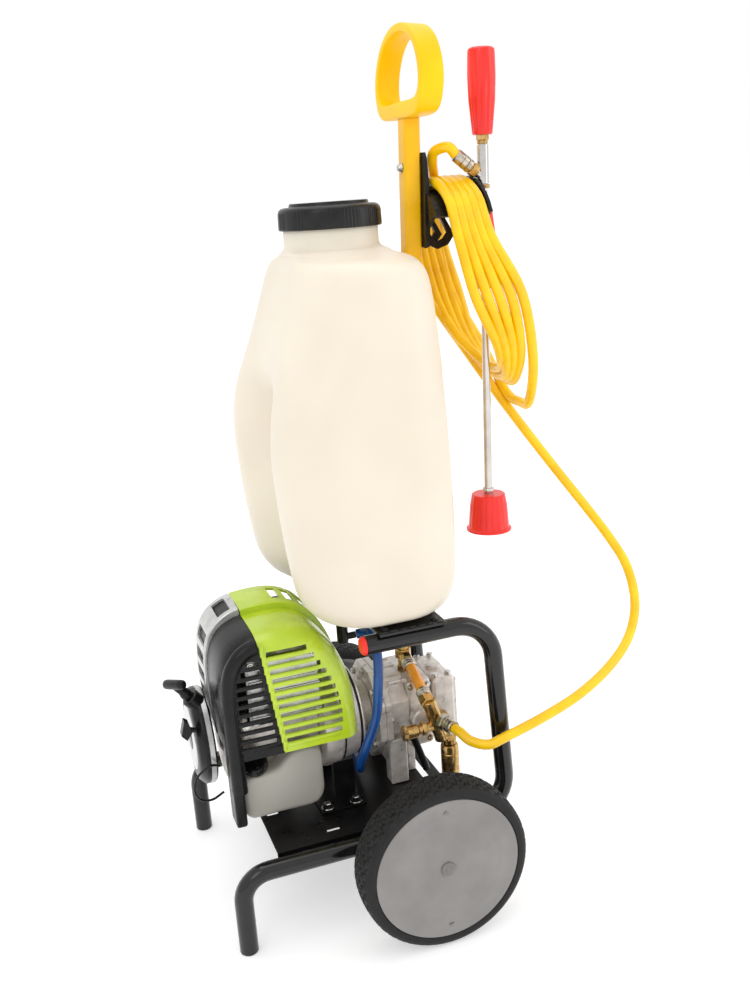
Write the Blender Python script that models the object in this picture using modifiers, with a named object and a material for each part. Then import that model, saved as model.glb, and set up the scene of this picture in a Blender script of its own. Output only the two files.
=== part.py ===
"""Wheeled petrol sprayer cart: frame, wheels, tank, engine, pump, mast, spray gun and hose.

Lengths are metres. X runs from the feet and engine (-X) to the wheels and mast (+X), Y across the
cart, Z up. Dimensions are written from the wheel axle at X = 0 and the ground at Z = 0; the last
lines move everything so that the origin lies under the middle of the whole.
"""

import math

import bmesh
import bpy
from mathutils import Matrix, Vector

# ---- driving dimensions ----
ORIGIN_SHIFT_X = 0.0310
GAP = 0.0003

WHEEL_RADIUS = 0.100
WHEEL_WIDTH = 0.045
WHEEL_OUTER_Y = 0.226
AXLE_RADIUS = 0.006
AXLE_Z = WHEEL_RADIUS

TUBE_RADIUS = 0.011
TUBE_WALL = 0.002
SIDE_Y = 0.1364
FOOT_X = -0.2167
RAIL_Z = 0.0975
TOP_RAIL_Z = 0.3465
TOP_RAIL_FRONT_X = -0.050
UPRIGHT_LOW_X = 0.117
UPRIGHT_HIGH_X = 0.1031

DECK_TOP_Z = 0.1082
DECK_FRONT_X = -0.170
DECK_BACK_X = 0.066

TANK_BOTTOM_Z = 0.3612
LID_X = -0.011
LID_RADIUS = 0.0582
LID_Z = 0.7935

MAST_SIDE = 0.020
MAST_LEAN = math.radians(2.15)
MAST_REF = Vector((0.0853, 0.0, 0.7645))
HANDLE_BASE_Z = 0.905

SHAFT_Z = 0.203
PARTING_X = -0.1432
PARTING_LEAN = 0.135
RECOIL_BOSS = Vector((-0.2250, -0.018, 0.2620))
FILLER_START = Vector((-0.1700, -0.0560, 0.1760))
FILLER_AXIS = Vector((-0.18, -0.50, 0.85))

GUN_TOP = Vector((0.1734, -0.020, 0.975))
GUN_FOOT = Vector((0.1610, -0.020, 0.409))
GUN_HIP = Vector((0.1704, -0.020, 0.836))
GUN_INLET = Vector((0.1380, -0.0185, 0.8632))

HOSE_RADIUS = 0.006

for old in list(bpy.data.objects):
    bpy.data.objects.remove(old)
PARTS = bpy.data.collections.new("sprayer_cart")
CUTTERS = bpy.data.collections.new("cutters")
bpy.context.scene.collection.children.link(PARTS)
bpy.context.scene.collection.children.link(CUTTERS)


# ---- shape helpers ----
def link(name, data):
    obj = bpy.data.objects.new(name, data)
    PARTS.objects.link(obj)
    return obj


def make(name, bm):
    """Link a closed mesh as one part, its faces turned outwards."""
    bmesh.ops.remove_doubles(bm, verts=bm.verts, dist=1e-6)
    bmesh.ops.recalc_face_normals(bm, faces=bm.faces)
    mesh = bpy.data.meshes.new(name)
    bm.to_mesh(mesh)
    bm.free()
    return link(name, mesh)


def evaluated_mesh(obj):
    """The object's mesh as its modifiers leave it."""
    bpy.context.view_layer.update()
    graph = bpy.context.evaluated_depsgraph_get()
    return bpy.data.meshes.new_from_object(obj.evaluated_get(graph))


def baked(obj):
    """Apply an object's modifiers and placing, and weld it into one closed mesh."""
    bm = bmesh.new()
    bm.from_mesh(evaluated_mesh(obj))
    bm.transform(obj.matrix_world)
    name = obj.name
    bpy.data.objects.remove(obj)
    return make(name, bm)


def combine(obj, tools, operation):
    """Apply a Boolean with each tool in turn, then drop the tools."""
    for tool in tools:
        PARTS.objects.unlink(tool)
        CUTTERS.objects.link(tool)
        tool.hide_render = True
        tool.display_type = "WIRE"
        boolean = obj.modifiers.new("boolean", "BOOLEAN")
        boolean.object = tool
        boolean.operation = operation
        boolean.solver = "EXACT"
        mesh = evaluated_mesh(obj)
        obj.modifiers.clear()
        obj.data = mesh
        bpy.data.objects.remove(tool)
    return obj


def cut(obj, *tools):
    return combine(obj, tools, "DIFFERENCE")


def join(obj, *tools):
    return combine(obj, tools, "UNION")


def loft(name, rings, closed=False):
    """Skin unlike sections; the ends are capped unless the loft closes on itself."""
    bm = bmesh.new()
    loops = [[bm.verts.new(p) for p in ring] for ring in rings]
    count = len(loops[0])
    pairs = list(zip(loops, loops[1:]))
    if closed:
        pairs.append((loops[-1], loops[0]))
    for a, b in pairs:
        for i in range(count):
            j = (i + 1) % count
            bm.faces.new((a[i], a[j], b[j], b[i]))
    if not closed:
        bm.faces.new(loops[0][::-1])
        bm.faces.new(loops[-1])
    return make(name, bm)


def add_cube(bm, low, high):
    """A box between two corners, added to a mesh."""
    made = bmesh.ops.create_cube(bm, size=1.0)["verts"]
    bmesh.ops.scale(bm, vec=[b - a for a, b in zip(low, high)], verts=made)
    bmesh.ops.translate(bm, vec=[(a + b) / 2 for a, b in zip(low, high)], verts=made)


def box(name, low, high, bevel=0.0):
    bm = bmesh.new()
    add_cube(bm, low, high)
    if bevel:
        bmesh.ops.bevel(bm, geom=bm.edges, offset=bevel, segments=2, affect="EDGES", profile=0.5)
    return make(name, bm)


def blocks(name, spans):
    """Several separate boxes as one mesh, for cutting rows of slots."""
    bm = bmesh.new()
    for low, high in spans:
        add_cube(bm, low, high)
    return make(name, bm)


def axis_matrix(start, direction):
    """Places a shape made about +Z so that it runs from start along direction."""
    turn = Vector(direction).to_track_quat("Z", "Y").to_matrix().to_4x4()
    return Matrix.Translation(start) @ turn


def turned(name, outline, closed, start, direction, sides):
    """Turn an outline of (distance along the axis, radius) points with a Screw modifier."""
    mesh = bpy.data.meshes.new(name)
    edges = [(i, i + 1) for i in range(len(outline) - 1)]
    if closed:
        edges.append((len(outline) - 1, 0))
    mesh.from_pydata([(radius, 0, along) for along, radius in outline], edges, [])
    obj = link(name, mesh)
    obj.matrix_world = axis_matrix(start, direction)
    screw = obj.modifiers.new("turn", "SCREW")
    screw.steps = screw.render_steps = sides
    screw.use_merge_vertices = True
    screw.merge_threshold = 0.00001
    return baked(obj)


def lathe(name, profile, start, direction, sides=32):
    """A turned solid from its outer profile, closed at both ends on the axis."""
    outline = [(profile[0][0], 0.0), *profile, (profile[-1][0], 0.0)]
    return turned(name, outline, False, start, direction, sides)


def ring_solid(name, profile, start, direction, sides=32):
    """A turned ring whose closed profile stays clear of the axis."""
    return turned(name, profile, True, start, direction, sides)


def rod(name, start, end, radius, sides=24):
    length = (Vector(end) - Vector(start)).length
    bm = bmesh.new()
    bmesh.ops.create_cone(bm, cap_ends=True, segments=sides, radius1=radius, radius2=radius, depth=length,
                          matrix=Matrix.Translation((0, 0, length / 2)))
    bm.transform(axis_matrix(start, Vector(end) - Vector(start)))
    return make(name, bm)


def hexagon(name, start, end, flats):
    return rod(name, start, end, flats / math.sqrt(3), 6)


def prism(name, outline, low, high, axis):
    """Extrude a flat outline along one axis; the outline lists the other two coordinates."""
    place = {
        "x": lambda a, b, c: (c, a, b),
        "y": lambda a, b, c: (a, c, b),
        "z": lambda a, b, c: (a, b, c),
    }[axis]
    bm = bmesh.new()
    face = bm.faces.new([bm.verts.new(place(a, b, low)) for a, b in outline])
    grown_part = bmesh.ops.extrude_face_region(bm, geom=[face])["geom"]
    moved = [v for v in grown_part if isinstance(v, bmesh.types.BMVert)]
    bmesh.ops.translate(bm, vec=place(0, 0, high - low), verts=moved)
    return make(name, bm)


def tube(name, path, radius, sides=12, wall=None):
    """Sweep a circle along a path as a bevelled curve; with a wall it is a pipe open at both ends."""
    curve = bpy.data.curves.new(name, "CURVE")
    curve.dimensions = "3D"
    curve.bevel_depth = radius
    curve.bevel_resolution = sides // 2 - 2
    curve.use_fill_caps = wall is None
    spline = curve.splines.new("POLY")
    spline.points.add(len(path) - 1)
    for point, place in zip(spline.points, path):
        point.co = (*place, 1)
    obj = link(name, curve)
    if wall is not None:
        obj.modifiers.new("weld", "WELD").merge_threshold = 0.00001
        shell = obj.modifiers.new("wall", "SOLIDIFY")
        shell.thickness = wall
        shell.offset = -1
    return baked(obj)


def rounded_path(corners, radii, step=8):
    """Polyline with arcs of the given radii at its inner corners."""
    pts = [Vector(p) for p in corners]
    out = [pts[0]]
    for prev, here, after, radius in zip(pts, pts[1:], pts[2:], radii):
        a = (prev - here).normalized()
        b = (after - here).normalized()
        half = a.angle(b) / 2
        reach = radius / math.tan(half)
        centre = here + (a + b).normalized() * (radius / math.sin(half))
        first = here + a * reach - centre
        last = here + b * reach - centre
        turn = first.angle(last)
        for k in range(step + 1):
            w = k / step
            p = (first * math.sin((1 - w) * turn) + last * math.sin(w * turn)) / math.sin(turn)
            out.append(centre + p)
    out.append(pts[-1])
    return out


def smooth_path(points, per_span=6, closed=False):
    """Catmull-Rom curve through the points."""
    pts = [Vector(p) for p in points]
    n = len(pts)
    out = []
    spans = n if closed else n - 1
    for i in range(spans):
        if closed:
            p0, p1, p2, p3 = pts[i - 1], pts[i], pts[(i + 1) % n], pts[(i + 2) % n]
        else:
            p0 = pts[i - 1] if i else pts[0] * 2 - pts[1]
            p1, p2 = pts[i], pts[i + 1]
            p3 = pts[i + 2] if i + 2 < n else pts[-1] * 2 - pts[-2]
        for k in range(per_span):
            t = k / per_span
            out.append(
                0.5 * (2 * p1 + (p2 - p0) * t + (2 * p0 - 5 * p1 + 4 * p2 - p3) * t * t
                       + (3 * p1 - p0 - 3 * p2 + p3) * t ** 3)
            )
    if not closed:
        out.append(pts[-1])
    return out


def carried_frames(path, first):
    """Each point of a closed path with two cross axes, carried along without twist."""
    frames = []
    u = Vector(first)
    for i, p in enumerate(path):
        tangent = (path[(i + 1) % len(path)] - path[i - 1]).normalized()
        u = (u - tangent * u.dot(tangent)).normalized()
        frames.append((p, u, tangent.cross(u)))
    return frames


def grown(outline, middle, by):
    """An outline moved outwards from a middle point by a distance."""
    out = []
    for a, b in outline:
        da, db = a - middle[0], b - middle[1]
        reach = math.hypot(da, db)
        out.append((middle[0] + da * (reach + by) / reach, middle[1] + db * (reach + by) / reach))
    return out


def mirrored(name, obj):
    """The same part on the other side of the cart."""
    bm = bmesh.new()
    bm.from_mesh(obj.data)
    bmesh.ops.scale(bm, vec=(1, -1, 1), verts=bm.verts)
    bmesh.ops.reverse_faces(bm, faces=bm.faces)
    return make(name, bm)


def mast_point(z, along_x=0.0, along_y=0.0):
    """A point beside the leaning mast's centre line at height z."""
    x = MAST_REF.x + math.tan(MAST_LEAN) * (z - MAST_REF.z)
    return Vector((x + along_x, along_y, z))


# ---- frame ----
def build_frame():
    corners = [
        (FOOT_X, -SIDE_Y, 0.0015),
        (FOOT_X, -SIDE_Y, RAIL_Z),
        (UPRIGHT_LOW_X, -SIDE_Y, RAIL_Z),
        (UPRIGHT_HIGH_X, -SIDE_Y, TOP_RAIL_Z),
        (TOP_RAIL_FRONT_X, -SIDE_Y, TOP_RAIL_Z),
    ]
    path = rounded_path(corners, [0.032, 0.045, 0.048], 5)
    side = tube("side_frame_near", path, TUBE_RADIUS, 14, TUBE_WALL)
    cut(side, rod("c", (0, -0.20, AXLE_Z), (0, -0.08, AXLE_Z), AXLE_RADIUS + GAP, 16))
    mirrored("side_frame_far", side)

    foot = lathe("foot_plug_near",
                 [(0, 0.0098), (0.0012, 0.0108), (0.0012, 0.0086), (0.016, 0.0082)],
                 (FOOT_X, -SIDE_Y, 0.0), (0, 0, 1), 14)
    mirrored("foot_plug_far", foot)
    cap = lathe("rail_plug_near",
                [(-0.015, 0.0082), (0.0004, 0.0086), (0.0004, 0.0108), (0.0030, 0.0108),
                 (0.0055, 0.0085), (0.0062, 0.0040)],
                (TOP_RAIL_FRONT_X, -SIDE_Y, TOP_RAIL_Z), (-1, 0, 0), 14)
    mirrored("rail_plug_far", cap)

    edge = SIDE_Y - TUBE_RADIUS - GAP
    low, top = DECK_TOP_Z - 0.002, DECK_TOP_Z
    skirt = top - 0.013
    profile = [(-edge, top), (-edge, skirt), (-edge + 0.0025, skirt), (-edge + 0.0025, low),
               (edge - 0.0025, low), (edge - 0.0025, skirt), (edge, skirt), (edge, top)]
    deck = prism("deck_plate", profile, DECK_FRONT_X, DECK_BACK_X, "x")
    slots = [(-0.155, -0.042, 0.014, 0.007), (-0.155, 0.042, 0.014, 0.007),
             (-0.097, -0.106, 0.016, 0.006), (-0.097, 0.106, 0.016, 0.006),
             (0.047, 0.0, 0.009, 0.205),
             (-0.012, -0.085, 0.006, 0.006), (-0.012, 0.085, 0.006, 0.006)]
    cut(deck, blocks("c", [((x - w / 2, y - d / 2, low - 0.01), (x + w / 2, y + d / 2, top + 0.01))
                           for x, y, w, d in slots]))
    cut(deck, box("c", (-0.0085, -0.14, 0.09), (0.0085, 0.14, low - 0.0001)))


def build_cradle():
    """Cross plate on the two top rails, with the socket that holds the mast."""
    low = TOP_RAIL_Z + TUBE_RADIUS + GAP
    top = low + 0.003
    cradle = box("tank_cradle", (-0.036, -0.149, low), (0.044, 0.149, top))
    tongue = box("t", (0.030, -0.030, low), (0.092, 0.030, top))
    socket = box("s", (0.0530, -0.0135, 0.286), (0.0848, 0.0135, top - 0.001))
    heads = [lathe("h", [(-0.001, 0.0034), (0.0016, 0.0034), (0.0024, 0.0020)], (x, y, top), (0, 0, 1), 12)
             for x in (-0.026, 0.034) for y in (-SIDE_Y, SIDE_Y)]
    join(cradle, tongue, socket, *heads)
    cut(cradle, blocks("c", [((-0.026, y0, low - 0.01), (0.034, y1, top + 0.01))
                             for y0, y1 in ((-0.115, -0.035), (0.035, 0.115))]))
    half = MAST_SIDE / 2 + GAP
    rings = [[mast_point(z, sx * half, sy * half) for sx, sy in ((-1, -1), (1, -1), (1, 1), (-1, 1))]
             for z in (0.289, 0.400)]
    cut(cradle, loft("c", rings))


# ---- wheels ----
def build_wheels():
    out_y = -WHEEL_OUTER_Y
    rim = 0.0860
    r, w = WHEEL_RADIUS, WHEEL_WIDTH
    tread = [(0.0, rim), (0.0, 0.0915), (0.0035, 0.0970), (0.0105, 0.0995), (0.0225, r),
             (w - 0.0105, 0.0995), (w - 0.0035, 0.0970), (w, 0.0915), (w, rim)]
    tyre = ring_solid("tyre_near", tread, (0, out_y, AXLE_Z), (0, 1, 0), 36)
    mirrored("tyre_far", tyre)

    bore = AXLE_RADIUS + 0.00006
    disc = [(0.0030, 0.0165), (0.0015, 0.0800), (0.0005, 0.0850), (0.0015, rim - GAP),
            (w - 0.0015, rim - GAP), (w - 0.0015, 0.0810), (0.0062, 0.0780), (0.0062, 0.0165),
            (w, 0.0150), (w, bore), (0.0030, bore)]
    wheel = ring_solid("wheel_near", disc, (0, out_y, AXLE_Z), (0, 1, 0), 36)
    mirrored("wheel_far", wheel)

    cap = lathe("hub_cap_near", [(0, 0.0085), (0.0010, 0.0085), (0.0022, 0.0070), (0.0027, 0.0030)],
                (0, out_y + 0.0026, AXLE_Z), (0, -1, 0), 18)
    mirrored("hub_cap_far", cap)
    inner = WHEEL_OUTER_Y - WHEEL_WIDTH
    length = inner - SIDE_Y - TUBE_RADIUS - 0.0008
    spacer = ring_solid("axle_spacer_near",
                        [(0, AXLE_RADIUS + GAP), (0, 0.0095), (length, 0.0095),
                         (length, AXLE_RADIUS + GAP)],
                        (0, -SIDE_Y - TUBE_RADIUS - 0.0004, AXLE_Z), (0, -1, 0), 16)
    mirrored("axle_spacer_far", spacer)
    end = WHEEL_OUTER_Y - 0.0032
    rod("axle", (0, -end, AXLE_Z), (0, end, AXLE_Z), AXLE_RADIUS, 24)


# ---- tank ----
# height, front X, back X, half width, back and front corner radius, front recess depth, back hollow depth
TANK_RINGS = [
    (0.0000, -0.062, 0.036, 0.118, 0.045, 0.045, 0.008, 0.004),
    (0.0040, -0.078, 0.053, 0.136, 0.052, 0.052, 0.018, 0.010),
    (0.0150, -0.094, 0.067, 0.149, 0.060, 0.060, 0.036, 0.018),
    (0.0400, -0.109, 0.075, 0.155, 0.062, 0.062, 0.042, 0.019),
    (0.0850, -0.1165, 0.077, 0.156, 0.062, 0.062, 0.044, 0.018),
    (0.1400, -0.1215, 0.077, 0.156, 0.062, 0.062, 0.045, 0.014),
    (0.1950, -0.1240, 0.076, 0.155, 0.062, 0.062, 0.045, 0.010),
    (0.2350, -0.1205, 0.0745, 0.1545, 0.062, 0.064, 0.038, 0.007),
    (0.2620, -0.1145, 0.073, 0.1535, 0.062, 0.070, 0.018, 0.005),
    (0.2850, -0.1070, 0.072, 0.1525, 0.060, 0.078, 0.004, 0.003),
    (0.3200, -0.0960, 0.0695, 0.1490, 0.056, 0.088, 0.0, 0.0),
    (0.3550, -0.0855, 0.0665, 0.1430, 0.050, 0.092, 0.0, 0.0),
    (0.3800, -0.0775, 0.0635, 0.1350, 0.046, 0.086, 0.0, 0.0),
    (0.3930, -0.0725, 0.0590, 0.1240, 0.044, 0.078, 0.0, 0.0),
    (0.4000, -0.0690, 0.0540, 0.1070, 0.044, 0.068, 0.0, 0.0),
    (0.4045, -0.0662, 0.0470, 0.0800, 0.046, 0.058, 0.0, 0.0),
]
TANK_WALL = 0.003
RING_POINTS = 36
NECK_RADIUS = 0.0535
NECK_TOP_Z = 0.8060
OUTLET_XY = (-0.044, -0.030)


def tank_plan(z, front, back, half, back_corner, front_corner, recess, hollow, shrink):
    """One level of the tank: a round-cornered plan with a front recess and a hollow back."""
    front, back, half = front + shrink, back - shrink, half - shrink
    rear = min(back_corner - shrink, half - 0.002, (back - front) / 2 - 0.002)
    fore = min(front_corner - shrink, half - 0.002, back - front - rear - 0.002)
    pts = []
    corners = ((back - rear, half - rear, rear, 0), (front + fore, half - fore, fore, 90),
               (front + fore, fore - half, fore, 180), (back - rear, rear - half, rear, 270))
    for cx, cy, corner, start in corners:
        for k in range(8):
            t = math.radians(start + 90 * k / 7)
            pts.append((cx + corner * math.cos(t), cy + corner * math.sin(t)))
        if start == 90:
            for k in range(1, 16):
                y = (half - fore) * (1 - k / 8)
                dip = 0.5 + 0.5 * math.cos(math.pi * min(1.0, abs(y) / 0.085))
                pts.append((front + recess * dip ** 0.75, y))
    for k in range(1, 12):
        y = (rear - half) * (1 - k / 6)
        dip = 0.5 + 0.5 * math.cos(math.pi * min(1.0, abs(y) / 0.085))
        pts.append((back - hollow * dip, y))
    return [Vector((x, y, z)) for x, y in pts]


def even_ring(points, count):
    """Spread a closed ring's points evenly, starting on the back's middle line."""
    start = min(range(len(points)), key=lambda i: abs(points[i].y) - points[i].x)
    ring = points[start:] + points[:start]
    ring.append(ring[0])
    lengths = [0.0]
    for a, b in zip(ring, ring[1:]):
        lengths.append(lengths[-1] + (b - a).length)
    out = []
    j = 0
    for k in range(count):
        want = lengths[-1] * k / count
        while lengths[j + 1] < want:
            j += 1
        out.append(ring[j].lerp(ring[j + 1], (want - lengths[j]) / (lengths[j + 1] - lengths[j])))
    return out


def tank_solid(name, shrink, neck_radius, neck_top):
    rings = []
    for dz, *plan in TANK_RINGS:
        z = TANK_BOTTOM_Z + dz
        if dz < 0.01:
            z += shrink
        elif dz > 0.30:
            z -= shrink * 0.7 * (dz - 0.30) / 0.11
        rings.append(even_ring(tank_plan(z, *plan, shrink), RING_POINTS))
    shoulder = TANK_BOTTOM_Z + TANK_RINGS[-1][0] + 0.0050 - shrink * 0.7
    for z in (shoulder, neck_top):
        turns = [2 * math.pi * k / RING_POINTS for k in range(RING_POINTS)]
        rings.append([Vector((LID_X + neck_radius * math.cos(t), neck_radius * math.sin(t), z))
                      for t in turns])
    return loft(name, rings)


def build_tank():
    tank = tank_solid("tank", 0.0, NECK_RADIUS, NECK_TOP_Z)
    cut(tank, tank_solid("c", TANK_WALL, NECK_RADIUS - 0.004, NECK_TOP_Z + 0.01))
    x, y = OUTLET_XY
    cut(tank, rod("c", (x, y, 0.34), (x, y, 0.372), 0.0080, 20))

    lid = lathe("tank_lid",
                [(0.0150, 0.0545), (0.0, 0.0545), (0.0, LID_RADIUS), (0.0215, LID_RADIUS - 0.0006),
                 (0.0245, LID_RADIUS - 0.0040), (0.0248, 0.0450), (0.0285, 0.0430)],
                (LID_X, 0, LID_Z), (0, 0, 1), 36)
    turns = [2 * math.pi * k / 12 for k in range(12)]
    r = LID_RADIUS + 0.0003
    cut(lid, blocks("c", [((LID_X + r * math.cos(t) - 0.0011, r * math.sin(t) - 0.0011, LID_Z + 0.003),
                           (LID_X + r * math.cos(t) + 0.0011, r * math.sin(t) + 0.0011, LID_Z + 0.019))
                          for t in turns]))
    lathe("strainer_basket",
          [(-0.0500, 0.0395), (0, 0.0450), (0, 0.0538), (-0.0018, 0.0538), (-0.0022, 0.0470),
           (-0.0522, 0.0415)],
          (LID_X, 0, NECK_TOP_Z + 0.0021), (0, 0, 1), 28)
    fitting = lathe("tank_outlet",
                    [(0, 0.0100), (0.0040, 0.0100), (0.0040, 0.0076), (0.0215, 0.0076), (0.0215, 0.0105),
                     (0.0255, 0.0105), (0.0255, 0.0070), (0.0600, 0.0070)],
                    (x, y, TANK_BOTTOM_Z + TANK_WALL + 0.0045), (0, 0, -1), 14)
    join(fitting, rod("e", (x, y, 0.3140), (x + 0.015, y - 0.006, 0.3170), 0.0042, 10))


# ---- mast, handle and hose hanger ----
SADDLE_Z = 0.772
SADDLE_RADIUS = 0.055


def build_mast():
    half, inner = MAST_SIDE / 2, MAST_SIDE / 2 - 0.0015
    corner = 0.0022

    def section(z, h):
        c = min(corner, h / 3)
        plan = [(h, -h + c), (h, h - c), (h - c, h), (-h + c, h), (-h, h - c), (-h, -h + c), (-h + c, -h),
                (h - c, -h)]
        return [mast_point(z, a, b) for a, b in plan]

    mast = loft("mast", [section(z, half) for z in (0.290, HANDLE_BASE_Z)]
                + [section(z, inner) for z in (HANDLE_BASE_Z, 0.290)], closed=True)

    near_half = [(0, -0.0400, 0.9145), (0, -0.0570, 0.9200), (0, -0.0655, 0.9370), (0, -0.0625, 0.9590),
                 (0, -0.0490, 0.9800), (0, -0.0270, 0.9940)]
    far_half = [(x, -y, z) for x, y, z in near_half]
    loop = smooth_path([(0, 0, 0.9145)] + far_half + [(0, 0, 0.9985)] + near_half[::-1], 3, closed=True)
    rings = []
    flat = [(-0.014, -0.003), (-0.011, -0.0045), (0.011, -0.0045), (0.014, -0.003),
            (0.014, 0.003), (0.011, 0.0045), (-0.011, 0.0045), (-0.014, 0.003)]
    for p, u, v in carried_frames(loop, (1, 0, 0)):
        swell = 1.0 + 0.9 * min(1.0, max(0.0, (0.930 - p.z) / 0.0155))
        centre = mast_point(p.z, 0.0, p.y)
        rings.append([centre + u * a + v * b * swell for a, b in flat])
    handle = loft("d_handle", rings, closed=True)
    spigot = loft("s", [section(z, inner - GAP) for z in (0.866, 0.912)])
    boss = loft("b", [[mast_point(z, sx * h, sy * h) for sx, sy in ((-1, -1), (1, -1), (1, 1), (-1, 1))]
                      for z, h in ((HANDLE_BASE_Z + GAP, 0.0105), (0.9120, 0.0125))])
    join(handle, boss, spigot)

    def plate_ring(z, half_width):
        near, far = MAST_SIDE / 2 + GAP, MAST_SIDE / 2 + 0.0055
        return [mast_point(z, near, -half_width), mast_point(z, far, -half_width),
                mast_point(z, far, half_width), mast_point(z, near, half_width)]

    hanger = loft("hose_hanger", [plate_ring(z, w) for z, w in
                                  ((0.7640, 0.017), (0.7700, 0.0205), (0.8300, 0.0205), (0.8620, 0.0140),
                                   (0.8680, 0.0100))])

    def half_ring(name, x0, x1, inner_radius, outer_radius, start):
        steps = [math.radians(start + (180 - 2 * start) * k / 12) for k in range(13)]
        outline = [(outer_radius * math.cos(t), SADDLE_Z + outer_radius * math.sin(t)) for t in steps]
        outline += [(inner_radius * math.cos(t), SADDLE_Z + inner_radius * math.sin(t))
                    for t in reversed(steps)]
        return prism(name, outline, x0, x1, "x")

    saddle = half_ring("s", 0.0985, 0.1612, SADDLE_RADIUS - 0.004, SADDLE_RADIUS, 28)
    flange = half_ring("f", 0.1572, 0.1612, SADDLE_RADIUS - 0.004, 0.0680, 24)
    cheek = half_ring("k", 0.0985, 0.1025, 0.012, SADDLE_RADIUS - 0.001, 34)
    outer = [(0.0975, 0.8240), (0.0955, 0.7770), (0.0995, 0.7665), (0.1100, 0.7612), (0.1230, 0.7655),
             (0.1312, 0.7760), (0.1235, 0.7900), (0.1140, 0.8070), (0.1110, 0.8200)]
    inner_loop = [(0.1018, 0.8000), (0.1008, 0.7800), (0.1045, 0.7722), (0.1100, 0.7695), (0.1178, 0.7725),
                  (0.1228, 0.7790), (0.1178, 0.7900), (0.1122, 0.8000)]
    ribs = []
    for y in (-0.0205, 0.0155):
        rib = prism("r", outer, y, y + 0.005, "y")
        cut(rib, prism("c", inner_loop, y - 0.01, y + 0.02, "y"))
        ribs.append(rib)
    join(hanger, saddle, flange, cheek, *ribs)

    z = 0.853
    front = mast_point(z).x - MAST_SIDE / 2
    lathe("handle_bolt",
          [(0, 0.0030), (0.0040, 0.0058), (0.0045, 0.0030), (0.0305, 0.0030), (0.0305, 0.0056),
           (0.0345, 0.0056)],
          (front - 0.0048, 0, z), (1, 0, 0), 12)
    cut(mast, rod("c", (0.06, 0, z), (0.12, 0, z), 0.0034, 12))
    cut(hanger, rod("c", (0.06, 0, z), (0.12, 0, z), 0.0034, 12))


# ---- engine ----
COVER_MIDDLE = (-0.130, 0.262)
COVER_OUTLINE = [
    (-0.2050, 0.2150), (-0.2085, 0.2600), (-0.2085, 0.3000), (-0.2040, 0.3280), (-0.1930, 0.3470),
    (-0.1750, 0.3580), (-0.1500, 0.3625), (-0.1200, 0.3625), (-0.0980, 0.3560), (-0.0800, 0.3420),
    (-0.0640, 0.3180), (-0.0530, 0.2880), (-0.0480, 0.2550), (-0.0470, 0.2150),
]
BAND_OUTLINE = [
    (-0.2060, 0.2150), (-0.2110, 0.2600), (-0.2110, 0.3020), (-0.2065, 0.3325), (-0.1945, 0.3535),
    (-0.1755, 0.3660), (-0.1500, 0.3708), (-0.1200, 0.3706), (-0.0960, 0.3632), (-0.0760, 0.3470),
    (-0.0605, 0.3210), (-0.0505, 0.2890), (-0.0478, 0.2550), (-0.0472, 0.2150),
]
COVER_NEAR_Y, COVER_BACK_Y = -0.094, -0.0125
BAND_FAR_Y = 0.044
COVER_WALL = 0.0028


def dome(name, outline, levels):
    """Skin a side outline (X, Z) across Y, shrunk towards its middle at each level."""
    floor = outline[0][1]
    rings = []
    for y, by in levels:
        ring = grown(outline, COVER_MIDDLE, by)
        rings.append([(x, y, max(z, floor) if i not in (0, len(ring) - 1) else floor)
                      for i, (x, z) in enumerate(ring)])
    return loft(name, rings)


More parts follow.
